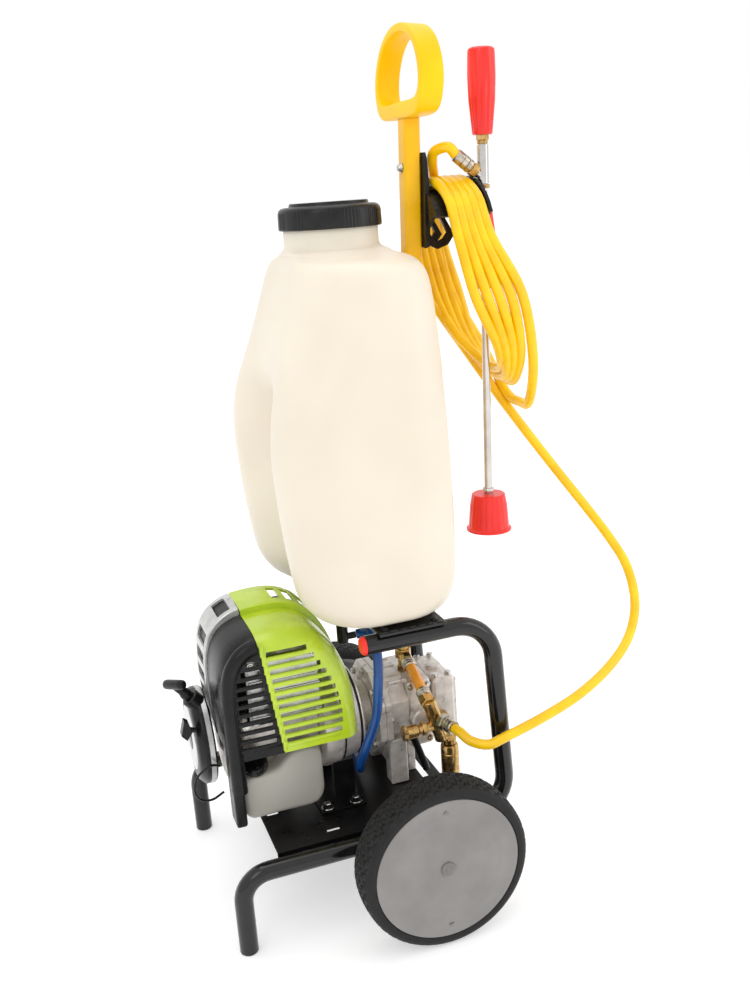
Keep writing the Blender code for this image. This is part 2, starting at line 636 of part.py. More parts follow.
def build_covers():
    near, back = COVER_NEAR_Y, COVER_BACK_Y
    outer_levels = [(near, -0.020), (near + 0.004, -0.011), (near + 0.011, -0.005), (near + 0.022, -0.0012),
                    (near + 0.036, 0.0), (back, 0.0)]
    wall = COVER_WALL
    inner_levels = [(near + wall, -0.020 - wall), (near + 0.0055, -0.0125 - wall),
                    (near + 0.012, -0.0065 - wall),
                    (near + 0.022, -0.0022 - wall), (near + 0.036, -wall), (back + 0.01, -wall)]
    deeper = [(x, z - 0.03 if i in (0, len(COVER_OUTLINE) - 1) else z)
              for i, (x, z) in enumerate(COVER_OUTLINE)]

    def beyond_parting(gap, forward):
        """Everything on one side of the leaning plane where the two cover halves meet, as a cutter."""
        low, high = [PARTING_X + gap - PARTING_LEAN * (z - 0.215) for z in (0.1, 0.5)]
        side = -0.35 if forward else 0.0
        return prism("c", [(low, 0.1), (high, 0.5), (side, 0.5), (side, 0.1)], -0.2, 0.1, "y")

    def bell():
        """Room for the clutch housing, as a cutter."""
        return rod("c", (-0.10, 0, SHAFT_Z), (-0.02, 0, SHAFT_Z), 0.0665, 32)

    black = dome("cover_front", COVER_OUTLINE, outer_levels)
    cut(black, dome("c", deeper, inner_levels))
    cut(black, beyond_parting(0.0, False))
    leg = box("l", (-0.2065, -0.0885, 0.128), (-0.1935, -0.0590, 0.2450), 0.002)
    join(black, leg)
    rows = []
    for k in range(10):
        z = 0.2300 + 0.0110 * k
        x0 = -0.1905 if k < 8 else -0.1905 + 0.006 * (k - 7)
        x1 = PARTING_X - 0.0050 - PARTING_LEAN * (z - 0.215)
        rows.append(((x0, -0.11, z), (x1, -0.066, z + 0.0062)))
    cut(black, blocks("c", rows))

    green = dome("cover_rear", COVER_OUTLINE, outer_levels)
    cap = dome("b", BAND_OUTLINE, [(back - 0.004, 0.0), (BAND_FAR_Y, 0.0)])
    join(green, cap)
    cut(green, dome("c", deeper, inner_levels))
    deep_band = [(x, z - 0.03 if i in (0, len(BAND_OUTLINE) - 1) else z)
                 for i, (x, z) in enumerate(BAND_OUTLINE)]
    cut(green, dome("c", deep_band, [(back - 0.004 + wall, -wall), (BAND_FAR_Y + 0.02, -wall)]))
    cut(green, beyond_parting(GAP * 2, True))
    cut(green, bell())
    rows = []
    for k in range(11):
        z = 0.2265 + 0.0110 * k
        x1 = (-0.0720, -0.0700, -0.0700, -0.0710, -0.0730, -0.0760, -0.0800, -0.0850, -0.0910, -0.0980,
              -0.1060)[k]
        x0 = PARTING_X + 0.0060 - PARTING_LEAN * (z - 0.215)
        rows.append(((x0, -0.11, z), (x1, -0.066, z + 0.0062)))
    cut(green, blocks("c", rows))
    vents = [((-0.120 + 0.017 * k, -0.002, 0.30), (-0.110 + 0.017 * k, 0.034, 0.40)) for k in range(3)]
    cut(green, blocks("c", vents))

    silver = dome("top_shroud", BAND_OUTLINE, [(back + 0.0005, 0.0), (BAND_FAR_Y, 0.0)])
    cut(silver, dome("c", deep_band, [(back + 0.0005 + wall, -wall), (BAND_FAR_Y + 0.02, -wall)]))
    cut(silver, dome("c", deeper, [(back - 0.01, -wall), (back + 0.01, -wall)]))
    cut(silver, beyond_parting(-0.0002, False))
    slots = []
    for k in range(5):
        z = 0.2290 + 0.0240 * k
        slots.append(((-0.23, -0.004, z), (-0.188, 0.036, z + 0.0150)))
    slots += [((-0.188, -0.004, 0.345), (-0.172, 0.036, 0.40))]
    cut(silver, blocks("c", slots))


def build_engine():
    crank = box("crankcase", (-0.183, -0.042, 0.166), (-0.0860, 0.046, 0.2440), 0.004)
    join(crank, box("f", (-0.168, 0.014, DECK_TOP_Z + 0.0004), (-0.118, 0.044, 0.175), 0.002))
    cut(crank, rod("c", (-0.190, 0, SHAFT_Z), (-0.150, 0, SHAFT_Z), 0.00506, 28))
    flywheel = lathe("flywheel",
                     [(-0.033, 0.0050), (-0.004, 0.0050), (-0.004, 0.0180), (0.0, 0.0490), (0.0120, 0.0490),
                      (0.0130, 0.0180), (0.0160, 0.0100)],
                     (-0.1880, 0, SHAFT_Z), (-1, 0, 0), 28)
    fins = [((-0.2015, -0.002, SHAFT_Z + 0.024), (-0.196, 0.002, SHAFT_Z + 0.060)),
            ((-0.2015, -0.002, SHAFT_Z - 0.060), (-0.196, 0.002, SHAFT_Z - 0.024)),
            ((-0.2015, 0.024, SHAFT_Z - 0.002), (-0.196, 0.060, SHAFT_Z + 0.002)),
            ((-0.2015, -0.060, SHAFT_Z - 0.002), (-0.196, -0.024, SHAFT_Z + 0.002))]
    cut(flywheel, blocks("c", fins))

    cylinder = box("cylinder", (-0.160, -0.034, 0.2446), (-0.098, 0.036, 0.3350), 0.003)
    fins = [((-0.20, -0.10, 0.2560 + 0.0105 * k), (-0.152, 0.10, 0.2605 + 0.0105 * k)) for k in range(6)]
    fins += [((-0.106, -0.10, 0.2560 + 0.0105 * k), (-0.05, 0.10, 0.2605 + 0.0105 * k)) for k in range(6)]
    cut(cylinder, blocks("c", fins))
    lathe("spark_plug", [(0, 0.0050), (0.010, 0.0050), (0.010, 0.0085), (0.0210, 0.0075), (0.0225, 0.0040)],
          (-0.128, 0.004, 0.3354), (0, 0, 1), 18)
    muffler = box("muffler", (-0.178, -0.0790, 0.2460), (-0.0860, -0.0440, 0.3300), 0.006)
    join(muffler, rod("p", (-0.130, -0.050, 0.300), (-0.130, -0.0345, 0.300), 0.009, 16))
    filter_box = box("air_filter", (-0.182, 0.0570, 0.2300), (-0.088, 0.0880, 0.3400), 0.008)
    join(filter_box, rod("p", (-0.130, 0.0365, 0.280), (-0.130, 0.060, 0.280), 0.010, 16))

    lathe("clutch_housing",
          [(0.0, 0.0580), (0.004, 0.0635), (0.0220, 0.0635), (0.0260, 0.0600), (0.0400, 0.0570),
           (0.0520, 0.0550), (0.0550, 0.0520), (0.0560, 0.0330), (0.0715, 0.0310)],
          (-0.0852, 0, SHAFT_Z), (1, 0, 0), 32)

    recoil = lathe("recoil_housing",
                   [(0, 0.0570), (0.0100, 0.0590), (0.0130, 0.0590), (0.0190, 0.0520), (0.0210, 0.0430),
                    (0.0190, 0.0410), (0.0190, 0.0150), (0.0220, 0.0120)],
                   (-0.2150, 0, 0.2130), (-1, 0, 0), 32)
    grip_dir = Vector((-0.62, 0.0, 0.78)).normalized()
    boss = RECOIL_BOSS
    join(recoil, rod("b", boss, boss + grip_dir * 0.0150, 0.0110, 14))
    seat = boss + grip_dir * 0.0155
    grip = lathe("recoil_grip", [(0, 0.0060), (0.004, 0.0072), (0.010, 0.0056), (0.0215, 0.0056)], seat,
                 grip_dir, 12)
    bar_mid = seat + grip_dir * 0.0235
    join(grip, lathe("t", [(-0.0190, 0.0035), (-0.0165, 0.0058), (0.0165, 0.0058), (0.0190, 0.0035)],
                     bar_mid, (0.45, -0.85, 0.25), 12))
    knob = prism("choke_lever", [(-0.2525, 0.2420), (-0.2465, 0.2350), (-0.2395, 0.2440), (-0.2425, 0.2560),
                                 (-0.2475, 0.2600)], -0.052, -0.040, "y")
    join(knob, rod("s", (-0.2445, -0.046, 0.2470), (-0.2340, -0.046, 0.2430), 0.0030, 12))
    loop = smooth_path([(-0.2150, -0.062, 0.2000), (-0.2260, -0.072, 0.2080), (-0.2420, -0.074, 0.2000),
                        (-0.2480, -0.072, 0.1820), (-0.2420, -0.068, 0.1660), (-0.2280, -0.064, 0.1600),
                        (-0.2130, -0.060, 0.1640)], 3)
    tube("stop_wire", loop, 0.0014, 6)

    tank_outline = [(-0.1920, 0.1330), (-0.1840, 0.1260), (-0.1100, 0.1260), (-0.0975, 0.1360),
                    (-0.0935, 0.1500),
                    (-0.0935, 0.1930), (-0.1000, 0.2020), (-0.1240, 0.2040), (-0.1360, 0.1990),
                    (-0.1480, 0.1860),
                    (-0.1900, 0.1820)]
    middle = (-0.135, 0.160)
    levels = [(-0.0750, -0.006), (-0.0735, -0.003), (-0.0690, 0.0), (-0.0500, 0.0)]

    def fuel_solid(name, less, ends):
        rings = []
        for y, by in levels:
            ring = grown(tank_outline, middle, by - less)
            rings.append([(x, y, z) for x, z in ring])
        shift = {levels[0][0]: ends[0], levels[-1][0]: ends[1]}
        return loft(name, [[(x, y + shift.get(y, 0.0), z) for x, y, z in ring] for ring in rings])

    fuel = fuel_solid("fuel_tank", 0.0, (0, 0))
    neck_start, neck_dir = FILLER_START, FILLER_AXIS.normalized()
    join(fuel, rod("n", neck_start, neck_start + neck_dir * 0.026, 0.0110, 20))
    cut(fuel, fuel_solid("c", 0.0022, (0.0022, -0.0022)))
    cut(fuel, rod("c", neck_start - neck_dir * 0.002, neck_start + neck_dir * 0.04, 0.0088, 20))
    cap_seat = neck_start + neck_dir * 0.0165
    lathe("fuel_cap",
          [(0.0110, 0.0114), (0.0, 0.0114), (0.0, 0.0150), (0.0110, 0.0150), (0.0135, 0.0125),
           (0.0135, 0.0020)],
          cap_seat, neck_dir, 20)

    base_z = DECK_TOP_Z + GAP
    bracket = box("engine_bracket", (-0.100, -0.074, base_z), (-0.044, 0.074, base_z + 0.003))
    join(bracket, box("w", (-0.0740, -0.0460, base_z + 0.001), (-0.0480, 0.0460, 0.1800)))
    bolts = [lathe("b", [(-0.001, 0.0062), (0.0050, 0.0062), (0.0056, 0.0048)], (x, y, base_z + 0.003),
                   (0, 0, 1), 6)
             for x in (-0.090, -0.054) for y in (-0.064, 0.064)]
    join(bracket, *bolts)
    cut(bracket, rod("c", (-0.10, 0, SHAFT_Z), (-0.02, 0, SHAFT_Z), 0.0640, 32))
    cut(bracket, box("c", (-0.080, -0.036, base_z + 0.003), (-0.040, 0.036, 0.150)))


# ---- pump ----
def octagon(cy, cz, apothem):
    r = apothem / math.cos(math.pi / 8)
    return [(cy + r * math.cos(math.pi / 8 + math.pi / 4 * k),
             cz + r * math.sin(math.pi / 8 + math.pi / 4 * k))
            for k in range(8)]


def build_pump():
    gear = prism("gearbox", octagon(0, 0.2000, 0.0560), -0.0130, -0.0050, "x")
    join(gear, prism("p", octagon(0, 0.2000, 0.0545), -0.0051, -0.0035, "x"),
         prism("p", octagon(0, 0.2000, 0.0560), -0.0036, 0.0040, "x"),
         prism("p", octagon(0, 0.2000, 0.0480), 0.0039, 0.0290, "x"),
         box("p", (0.0005, -0.0480, DECK_TOP_Z + 0.0004), (0.0240, 0.0480, 0.170), 0.002))
    cut(gear, box("c", (-0.05, -0.030, 0.1), (0.05, 0.030, 0.135)))
    bolts = []
    for k in range(8):
        t = math.pi / 4 * k
        y, z = 0.0500 * math.cos(t), 0.2000 + 0.0500 * math.sin(t)
        bolts.append(lathe("b", [(-0.001, 0.0036), (0.0035, 0.0036), (0.0042, 0.0022)], (-0.0130, y, z),
                           (-1, 0, 0), 6))
    join(gear, *bolts)

    body = box("pump_body", (0.0294, -0.0440, 0.1520), (0.0620, 0.0440, 0.2420), 0.004)
    join(body, rod("b", (0.0440, -0.0400, 0.1960), (0.0440, -0.0570, 0.1960), 0.0150, 24),
         box("s", (0.0320, -0.0250, DECK_TOP_Z + 0.0004), (0.0420, 0.0250, 0.155), 0.001))
    head = box("pump_head", (0.0624, -0.0480, 0.1620), (0.0930, 0.0280, 0.2400), 0.004)
    ribs = [box("r", (0.0900, y, 0.170), (0.0965, y + 0.007, 0.232), 0.001)
            for y in (-0.042, -0.014, 0.014)]
    join(head, *ribs)
    bolts = [lathe("b", [(-0.001, 0.0042), (0.0040, 0.0042), (0.0048, 0.0026)], (x, y, 0.2400), (0, 0, 1),
                   8)
             for x in (0.069, 0.087) for y in (-0.040, 0.020)]
    join(head, *bolts)

    crown = lathe("bypass_elbow", [(0, 0.0075), (0.0180, 0.0075), (0.0180, 0.0105), (0.0290, 0.0105),
                                   (0.0290, 0.0080),
                                   (0.0360, 0.0070)],
                  (0.0410, -0.0060, 0.2426), (0, 0, 1), 6)
    bend = Vector((0.0410, -0.0060, 0.2660))
    end = Vector((0.0400, -0.0790, 0.2360))
    way = (end - bend).normalized()
    start = bend + way * 0.0160
    join(crown, rod("e", bend, start, 0.0072, 16))
    bypass = tube("bypass_hose",
                  smooth_path([start + way * 0.0004, start + way * 0.018 + Vector((0, 0, 0.001)),
                                              end - way * 0.018 + Vector((0, 0, 0.001)),
                               end - way * 0.0004], 2),
                  0.0066, 12)
    for seat, aim in ((start + way * 0.0006, way), (end - way * 0.0006, -way)):
        join(bypass, lathe("k", [(0, 0.0084), (0.0095, 0.0088), (0.0110, 0.0080)], seat, aim, 14))

    aim = (RUN_START - Vector((0.0520, -0.0960, 0.2100))).normalized()
    seat = RUN_START - aim * 0.0235
    manifold = hexagon("manifold", end, end + way * 0.0120, 0.0170)
    elbow = end + way * 0.0100
    join(manifold,
         rod("v", elbow + Vector((0, 0, 0.004)), (0.0560, -0.0860, 0.1800), 0.0088, 20),
         rod("h", (0.0260, -0.0880, 0.2000), (0.0560, -0.0860, 0.2000), 0.0060, 16),
         rod("q", (0.0700, -0.0830, 0.1890), (0.0700, -0.0484, 0.1890), 0.0080, 16),
         rod("n", (0.0560, -0.0860, 0.1860), (0.0690, -0.0820, 0.1830), 0.0085, 16),
         rod("s", (0.0670, -0.0820, 0.1860), (0.0670, -0.0820, 0.1700), 0.0085, 16),
         rod("o", (0.0485, -0.0845, 0.2105), seat - aim * 0.0004, 0.0060, 16))
    lathe("relief_knob",
          [(0.0, 0.0084), (0.0020, 0.0094), (0.0050, 0.0094), (0.0052, 0.0084), (0.0190, 0.0084),
           (0.0200, 0.0070),
           (0.0212, 0.0040)],
          (0.0040, -0.0890, 0.2000), (1, 0, 0), 16)
    lathe("strainer_bowl", [(0, 0.0085), (0.0030, 0.0108), (0.0120, 0.0112), (0.0400, 0.0112),
                            (0.0440, 0.0090),
                            (0.0480, 0.0050)],
          (0.0670, -0.0820, 0.1690), (0, 0, -1), 16)

    outlet = hexagon("outlet_fitting", seat, seat + aim * 0.0080, 0.0170)
    join(outlet, lathe("f", [(0, 0.0062), (0.0075, 0.0062), (0.0075, 0.0086), (0.0215, 0.0090),
                             (0.0228, 0.0080)],
                       seat, aim, 16))


# ---- hoses ----
RUN_START = Vector((0.0590, -0.1200, 0.2090))
RUN_POINTS = [
    (0.0590, -0.1200, 0.2090), (0.0617, -0.1295, 0.2086), (0.0690, -0.1440, 0.2020),
    (0.0860, -0.1560, 0.1990),
    (0.1060, -0.1590, 0.2050),
    (0.1560, -0.1520, 0.2130), (0.2170, -0.1400, 0.2260), (0.2720, -0.1220, 0.2450),
    (0.3120, -0.1020, 0.2690),
    (0.3350, -0.0800, 0.3020), (0.3380, -0.0570, 0.3430), (0.3230, -0.0400, 0.3800),
    (0.2965, -0.0250, 0.4235),
    (0.2636, -0.0100, 0.4735), (0.2300, 0.0100, 0.5280), (0.2170, 0.0220, 0.5520),
]
COIL_POINTS = [
    (0.1305, 0.0, 0.8362), (0.1310, -0.0455, 0.8175), (0.1370, -0.0643, 0.7720), (0.1600, -0.0690, 0.7060),
    (0.1790, -0.0580, 0.6450), (0.1920, -0.0300, 0.6060), (0.1940, 0.0, 0.5950), (0.1860, 0.0300, 0.6060),
    (0.1690, 0.0560, 0.6450), (0.1500, 0.0670, 0.7000), (0.1340, 0.0643, 0.7720), (0.1305, 0.0455, 0.8175),
]
BLUE_POINTS = [
    (-0.0283, -0.0363, 0.3172), (-0.0220, -0.0390, 0.3184), (-0.0170, -0.0520, 0.3225),
    (-0.0180, -0.0730, 0.3180),
    (-0.0190, -0.0840, 0.3000), (-0.0220, -0.0860, 0.2650), (-0.0260, -0.0820, 0.2250),
    (-0.0400, -0.0720, 0.1800),
    (-0.0440, -0.0600, 0.1560), (-0.0380, -0.0400, 0.1390), (-0.0300, -0.0100, 0.1320),
    (-0.0260, 0.0250, 0.1310),
    (-0.0200, 0.0600, 0.1350), (0.0100, 0.0760, 0.1500), (0.0400, 0.0720, 0.1700), (0.0460, 0.0600, 0.1800),
    (0.0460, 0.0446, 0.1800),
]


def build_hoses():
    tube("hose_run", smooth_path(RUN_POINTS, 3), HOSE_RADIUS, 10)
    rings = []
    for p, u, v in carried_frames(smooth_path(COIL_POINTS, 2, closed=True), (1, 0, 0)):
        fan = min(1.0, max(0.0, (0.79 - p.z) / 0.08))
        low = min(1.0, max(0.0, (0.68 - p.z) / 0.06))
        a, b = 0.0230 + 0.0060 * fan - 0.0110 * low, 0.0064 + 0.0060 * low
        rings.append([p + u * a * math.cos(t) + v * b * math.sin(t)
                      for t in [2 * math.pi * k / 12 for k in range(12)]])
    coil = loft("hose_coil", rings, closed=True)
    way = (GUN_INLET - GUN_HIP).normalized()
    tail = smooth_path([(0.1190, 0.0080, 0.8340), (0.1165, 0.0060, 0.8480), (0.1170, -0.0020, 0.8640),
                        (0.1220, -0.0110, 0.8740), GUN_INLET + way * 0.0080, GUN_INLET + way * 0.0014], 3)
    join(coil, tube("t", tail, HOSE_RADIUS, 10))
    tube("intake_hose", smooth_path(BLUE_POINTS, 2), 0.0058, 10)


# ---- spray gun ----
def build_gun():
    axis = (GUN_FOOT - GUN_TOP).normalized()

    def along(z):
        return (GUN_TOP.z - z) / -axis.z

    lance = lathe("gun_lance",
                  [(along(0.9300), 0.0040), (along(0.8800), 0.0040), (along(0.8790), 0.0060),
                   (along(0.8735), 0.0060),
                   (along(0.8725), 0.0066), (along(0.8300), 0.0066), (along(0.8290), 0.0074),
                   (along(0.8255), 0.0074),
                   (along(0.8245), 0.0050), (along(0.4690), 0.0050), (along(0.4680), 0.0074),
                   (along(0.4650), 0.0074),
                   (along(0.4640), 0.0050), (along(0.4420), 0.0050), (along(0.4400), 0.0030)],
                  GUN_TOP, axis, 16)
    way = (GUN_INLET - GUN_HIP).normalized()
    join(lance, rod("i", GUN_HIP, GUN_HIP + way * 0.0200, 0.0048, 16),
         hexagon("n", GUN_HIP + way * 0.0110, GUN_HIP + way * 0.0190, 0.0130),
         rod("f", GUN_HIP + way * 0.0180, GUN_INLET, 0.0078, 16))

    lathe("twist_grip",
          [(0.0, 0.0120), (0.0015, 0.0150), (0.0300, 0.0160), (0.0550, 0.0152), (0.0750, 0.0132),
           (0.0920, 0.0115), (0.0920, 0.0042 + GAP), (0.0435, 0.0042 + GAP)],
          GUN_TOP, axis, 20)
    start = along(0.8050)
    ring_solid("fore_grip",
                      [(start, 0.0050 + GAP), (start, 0.0095), (start + 0.018, 0.0118),
                       (start + 0.040, 0.0148),
                       (start + 0.070, 0.0158), (start + 0.090, 0.0140), (start + 0.093, 0.0050 + GAP)],
               GUN_TOP, axis, 20)
    top = along(0.4610)
    ring_solid("nozzle_cup",
                     [(top, 0.0050 + GAP), (top, 0.0205), (top + 0.014, 0.0230), (top + 0.0430, 0.0252),
                      (top + 0.0440, 0.0280), (top + 0.0465, 0.0280), (top + 0.0465, 0.0232),
                      (top + 0.014, 0.0212),
                      (top + 0.0030, 0.0190), (top + 0.0030, 0.0050 + GAP)],
               GUN_TOP, axis, 24)


# ---- colours ----
# name: base colour, roughness, metallic, parts
MATERIALS = {
    "frame_black": ((0.02, 0.02, 0.022), 0.22, 0.0, (
        "side_frame_near", "side_frame_far", "deck_plate", "tank_cradle", "engine_bracket", "stop_wire")),
    "axle_zinc": ((0.62, 0.61, 0.58), 0.30, 1.0, (
        "axle", "axle_spacer_near", "axle_spacer_far", "hub_cap_near", "hub_cap_far", "handle_bolt",
        "outlet_fitting")),
    "foot_black": ((0.02, 0.02, 0.02), 0.60, 0.0, ("foot_plug_near", "foot_plug_far")),
    "tyre_black": ((0.02, 0.02, 0.02), 0.70, 0.0, ("tyre_near", "tyre_far")),
    "disc_grey": ((0.32, 0.30, 0.28), 0.25, 0.0, ("wheel_near", "wheel_far")),
    "red_plastic": ((0.60, 0.02, 0.015), 0.35, 0.0, (
        "rail_plug_near", "rail_plug_far", "twist_grip", "fore_grip", "nozzle_cup")),
    "tank_white": ((0.88, 0.81, 0.70), 0.40, 0.0, ("tank",)),
    "lid_black": ((0.02, 0.02, 0.02), 0.40, 0.0, ("tank_lid",)),
    "black_plastic": ((0.02, 0.02, 0.02), 0.40, 0.0, (
        "strainer_basket", "tank_outlet", "hose_hanger", "recoil_grip", "choke_lever", "fuel_cap",
        "spark_plug", "air_filter", "cover_front")),
    "yellow_paint": ((0.85, 0.40, 0.01), 0.25, 0.0, ("mast",)),
    "yellow_plastic": ((0.85, 0.40, 0.01), 0.35, 0.0, ("d_handle",)),
    "cover_green": ((0.32, 0.45, 0.01), 0.25, 0.0, ("cover_rear",)),
    "shroud_silver": ((0.35, 0.35, 0.33), 0.40, 0.6, ("top_shroud", "recoil_housing", "muffler")),
    "cast_alloy": ((0.45, 0.44, 0.42), 0.45, 0.9, (
        "crankcase", "cylinder", "flywheel", "clutch_housing", "gearbox", "pump_body", "pump_head")),
    "fuel_plastic": ((0.60, 0.60, 0.56), 0.45, 0.0, ("fuel_tank",)),
    "brass": ((0.70, 0.45, 0.15), 0.30, 1.0, (
        "bypass_elbow", "manifold", "relief_knob", "strainer_bowl", "gun_lance")),
    "hose_yellow": ((0.85, 0.28, 0.01), 0.40, 0.0, ("bypass_hose", "hose_run", "hose_coil")),
    "hose_blue": ((0.01, 0.05, 0.35), 0.40, 0.0, ("intake_hose",)),
}
# a point on the axis that each moving part turns or slides on
PIVOTS = {
    "tyre_near": (0, -SIDE_Y, AXLE_Z),
    "wheel_near": (0, -SIDE_Y, AXLE_Z),
    "hub_cap_near": (0, -SIDE_Y, AXLE_Z),
    "tyre_far": (0, SIDE_Y, AXLE_Z),
    "wheel_far": (0, SIDE_Y, AXLE_Z),
    "hub_cap_far": (0, SIDE_Y, AXLE_Z),
    "tank_lid": (LID_X, 0, LID_Z),
    "strainer_basket": (LID_X, 0, NECK_TOP_Z),
    "fuel_cap": FILLER_START,
    "recoil_grip": RECOIL_BOSS,
    "flywheel": (-0.1880, 0, SHAFT_Z),
    "choke_lever": (-0.2400, -0.046, 0.2450),
    "relief_knob": (0.0140, -0.0890, 0.2000),
    "twist_grip": GUN_TOP,
}


def paint_parts():
    for name, (colour, roughness, metallic, parts) in MATERIALS.items():
        material = bpy.data.materials.new(name)
        material.use_nodes = True
        shader = material.node_tree.nodes["Principled BSDF"]
        shader.inputs["Base Color"].default_value = (*colour, 1)
        shader.inputs["Roughness"].default_value = roughness
        shader.inputs["Metallic"].default_value = metallic
        for part in parts:
            bpy.data.objects[part].data.materials.clear()
            bpy.data.objects[part].data.materials.append(material)


def place_parts():
    """Put each moving part's origin on its joint, and move the whole over its middle."""
    for obj in PARTS.objects:
        pivot = Vector(PIVOTS.get(obj.name, (0, 0, 0)))
        obj.data.transform(Matrix.Translation(-pivot))
        obj.location = pivot + Vector((ORIGIN_SHIFT_X, 0, 0))


build_frame()
build_cradle()
build_wheels()
build_tank()
build_mast()
build_covers()
build_engine()
build_pump()
build_hoses()
build_gun()
paint_parts()
place_parts()
bpy.data.collections.remove(CUTTERS)
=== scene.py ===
"""Looks of the wheeled sprayer cart: materials, smooth skins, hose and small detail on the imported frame.

Lengths are metres. The frame's origin lies on the floor under the middle of the cart; SHIFT is how far
the wheel axle stands from it along +X, so that places can be written from the axle as in the part.
"""

import math

import bmesh
import bpy
from mathutils import Matrix, Vector


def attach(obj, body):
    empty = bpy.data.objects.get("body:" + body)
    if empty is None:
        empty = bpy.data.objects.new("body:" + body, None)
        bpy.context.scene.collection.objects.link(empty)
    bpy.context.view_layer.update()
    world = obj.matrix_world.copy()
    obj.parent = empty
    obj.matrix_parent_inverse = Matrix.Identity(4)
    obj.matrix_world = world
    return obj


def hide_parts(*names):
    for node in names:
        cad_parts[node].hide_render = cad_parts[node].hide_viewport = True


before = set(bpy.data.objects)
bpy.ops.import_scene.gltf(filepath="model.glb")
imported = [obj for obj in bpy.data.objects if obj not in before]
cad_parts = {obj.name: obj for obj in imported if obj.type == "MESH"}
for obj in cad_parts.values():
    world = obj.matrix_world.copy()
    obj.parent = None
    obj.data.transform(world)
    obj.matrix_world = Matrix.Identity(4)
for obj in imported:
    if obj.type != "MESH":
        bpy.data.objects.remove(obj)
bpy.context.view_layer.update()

# ---- places that several pieces share ----
SHIFT = Vector((0.0310, 0, 0))
AXLE_Z = 0.100
TANK_BOTTOM_Z = 0.3612
LID_X = -0.011
MAST_LEAN = math.radians(2.15)
MAST_REF = Vector((0.0853, 0.0, 0.7645))
GUN_TOP = Vector((0.1734, -0.020, 0.975))
GUN_FOOT = Vector((0.1610, -0.020, 0.409))
GUN_HIP = Vector((0.1704, -0.020, 0.836))
GUN_INLET = Vector((0.1380, -0.0185, 0.8632))
HOSE_DIAMETER = 0.012
HOSE_START = Vector((0.0590, -0.1200, 0.2090))


# ---- shape helpers ----
def piece(name, mesh_or_bm, look, body="cart", smooth=35.0, replaces=()):
    """Link a new piece, shade it smooth up to an angle, hang it on the body it rides on and hide the parts
    it replaces.
    """
    mesh = mesh_or_bm
    if isinstance(mesh_or_bm, bmesh.types.BMesh):
        mesh = bpy.data.meshes.new(name)
        bmesh.ops.remove_doubles(mesh_or_bm, verts=mesh_or_bm.verts, dist=1e-7)
        bmesh.ops.recalc_face_normals(mesh_or_bm, faces=mesh_or_bm.faces)
        mesh_or_bm.to_mesh(mesh)
        mesh_or_bm.free()
    for polygon in mesh.polygons:
        polygon.use_smooth = True
    mesh.set_sharp_from_angle(angle=math.radians(smooth))
    mesh.materials.clear()
    mesh.materials.append(M[look])
    obj = bpy.data.objects.new(name, mesh)
    bpy.context.scene.collection.objects.link(obj)
    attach(obj, body)
    if replaces:
        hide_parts(*replaces)
    return obj


def skin(bm, rings, closed_along=False, caps=True):
    """Faces between rings of points, each ring closed on itself."""
    loops = [[bm.verts.new(p + SHIFT) for p in ring] for ring in rings]
    count = len(loops[0])
    pairs = list(zip(loops, loops[1:]))
    if closed_along:
        pairs.append((loops[-1], loops[0]))
    for a, b in pairs:
        for i in range(count):
            j = (i + 1) % count
            bm.faces.new((a[i], a[j], b[j], b[i]))
    if caps and not closed_along:
        bm.faces.new(loops[0][::-1])
        bm.faces.new(loops[-1])


def lathe(bm, profile, start, direction, sides=64, ripple=None, ring=False):
    """Turn (distance along, radius) points about an axis; ripple(along, angle) scales the radius."""
    turn = Vector(direction).normalized().to_track_quat("Z", "Y").to_matrix()
    rings = []
    for along, radius in profile:
        points = []
        for i in range(sides):
            t = 2 * math.pi * i / sides
            r = radius * (ripple(along, t) if ripple else 1.0)
            points.append(Vector(start) + turn @ Vector((r * math.cos(t), r * math.sin(t), along)))
        rings.append(points)
    skin(bm, rings, closed_along=ring)


def rod(bm, start, end, radius, sides=40, chamfer=0.0006):
    """A round bar between two points, with its edges broken."""
    start, end = Vector(start), Vector(end)
    long = (end - start).length
    lathe(bm, [(0, radius - chamfer), (chamfer, radius), (long - chamfer, radius),
               (long, radius - chamfer)],
          start, end - start, sides)


def nut(bm, start, end, flats):
    rod(bm, start, end, flats / math.sqrt(3), 6, 0.0007)


def bolt(bm, place, direction, radius=0.0036, height=0.0032):
    """A hexagon head on a washer."""
    d = Vector(direction).normalized()
    p = Vector(place)
    rod(bm, p - d * 0.001, p + d * 0.0008, radius * 1.45, 28, 0.0003)
    lathe(bm, [(0.0006, radius), (height * 0.8, radius), (height, radius * 0.8)], p, d, 6)


def block(bm, low, high, chamfer=0.0008, segments=2):
    """A box with its edges rounded."""
    one = bmesh.new()
    low, high = Vector(low), Vector(high)
    bmesh.ops.create_cube(one, size=1.0, matrix=Matrix.Translation((low + high) / 2 + SHIFT)
                          @ Matrix.Diagonal((*(high - low), 1)))
    bmesh.ops.bevel(one, geom=one.edges[:], offset=chamfer, segments=segments, profile=0.5, affect="EDGES")
    mesh = bpy.data.meshes.new("block")
    one.to_mesh(mesh)
    one.free()
    bm.from_mesh(mesh)
    bpy.data.meshes.remove(mesh)


def prism(bm, outline, low, high, axis):
    """Extrude a closed outline along an axis, given the other two coordinates in the order x, y, z."""
    place = {"x": lambda a, b, c: Vector((c, a, b)), "y": lambda a, b, c: Vector((a, c, b))}[axis]
    skin(bm, [[place(a, b, c) for a, b in outline] for c in (low, high)])


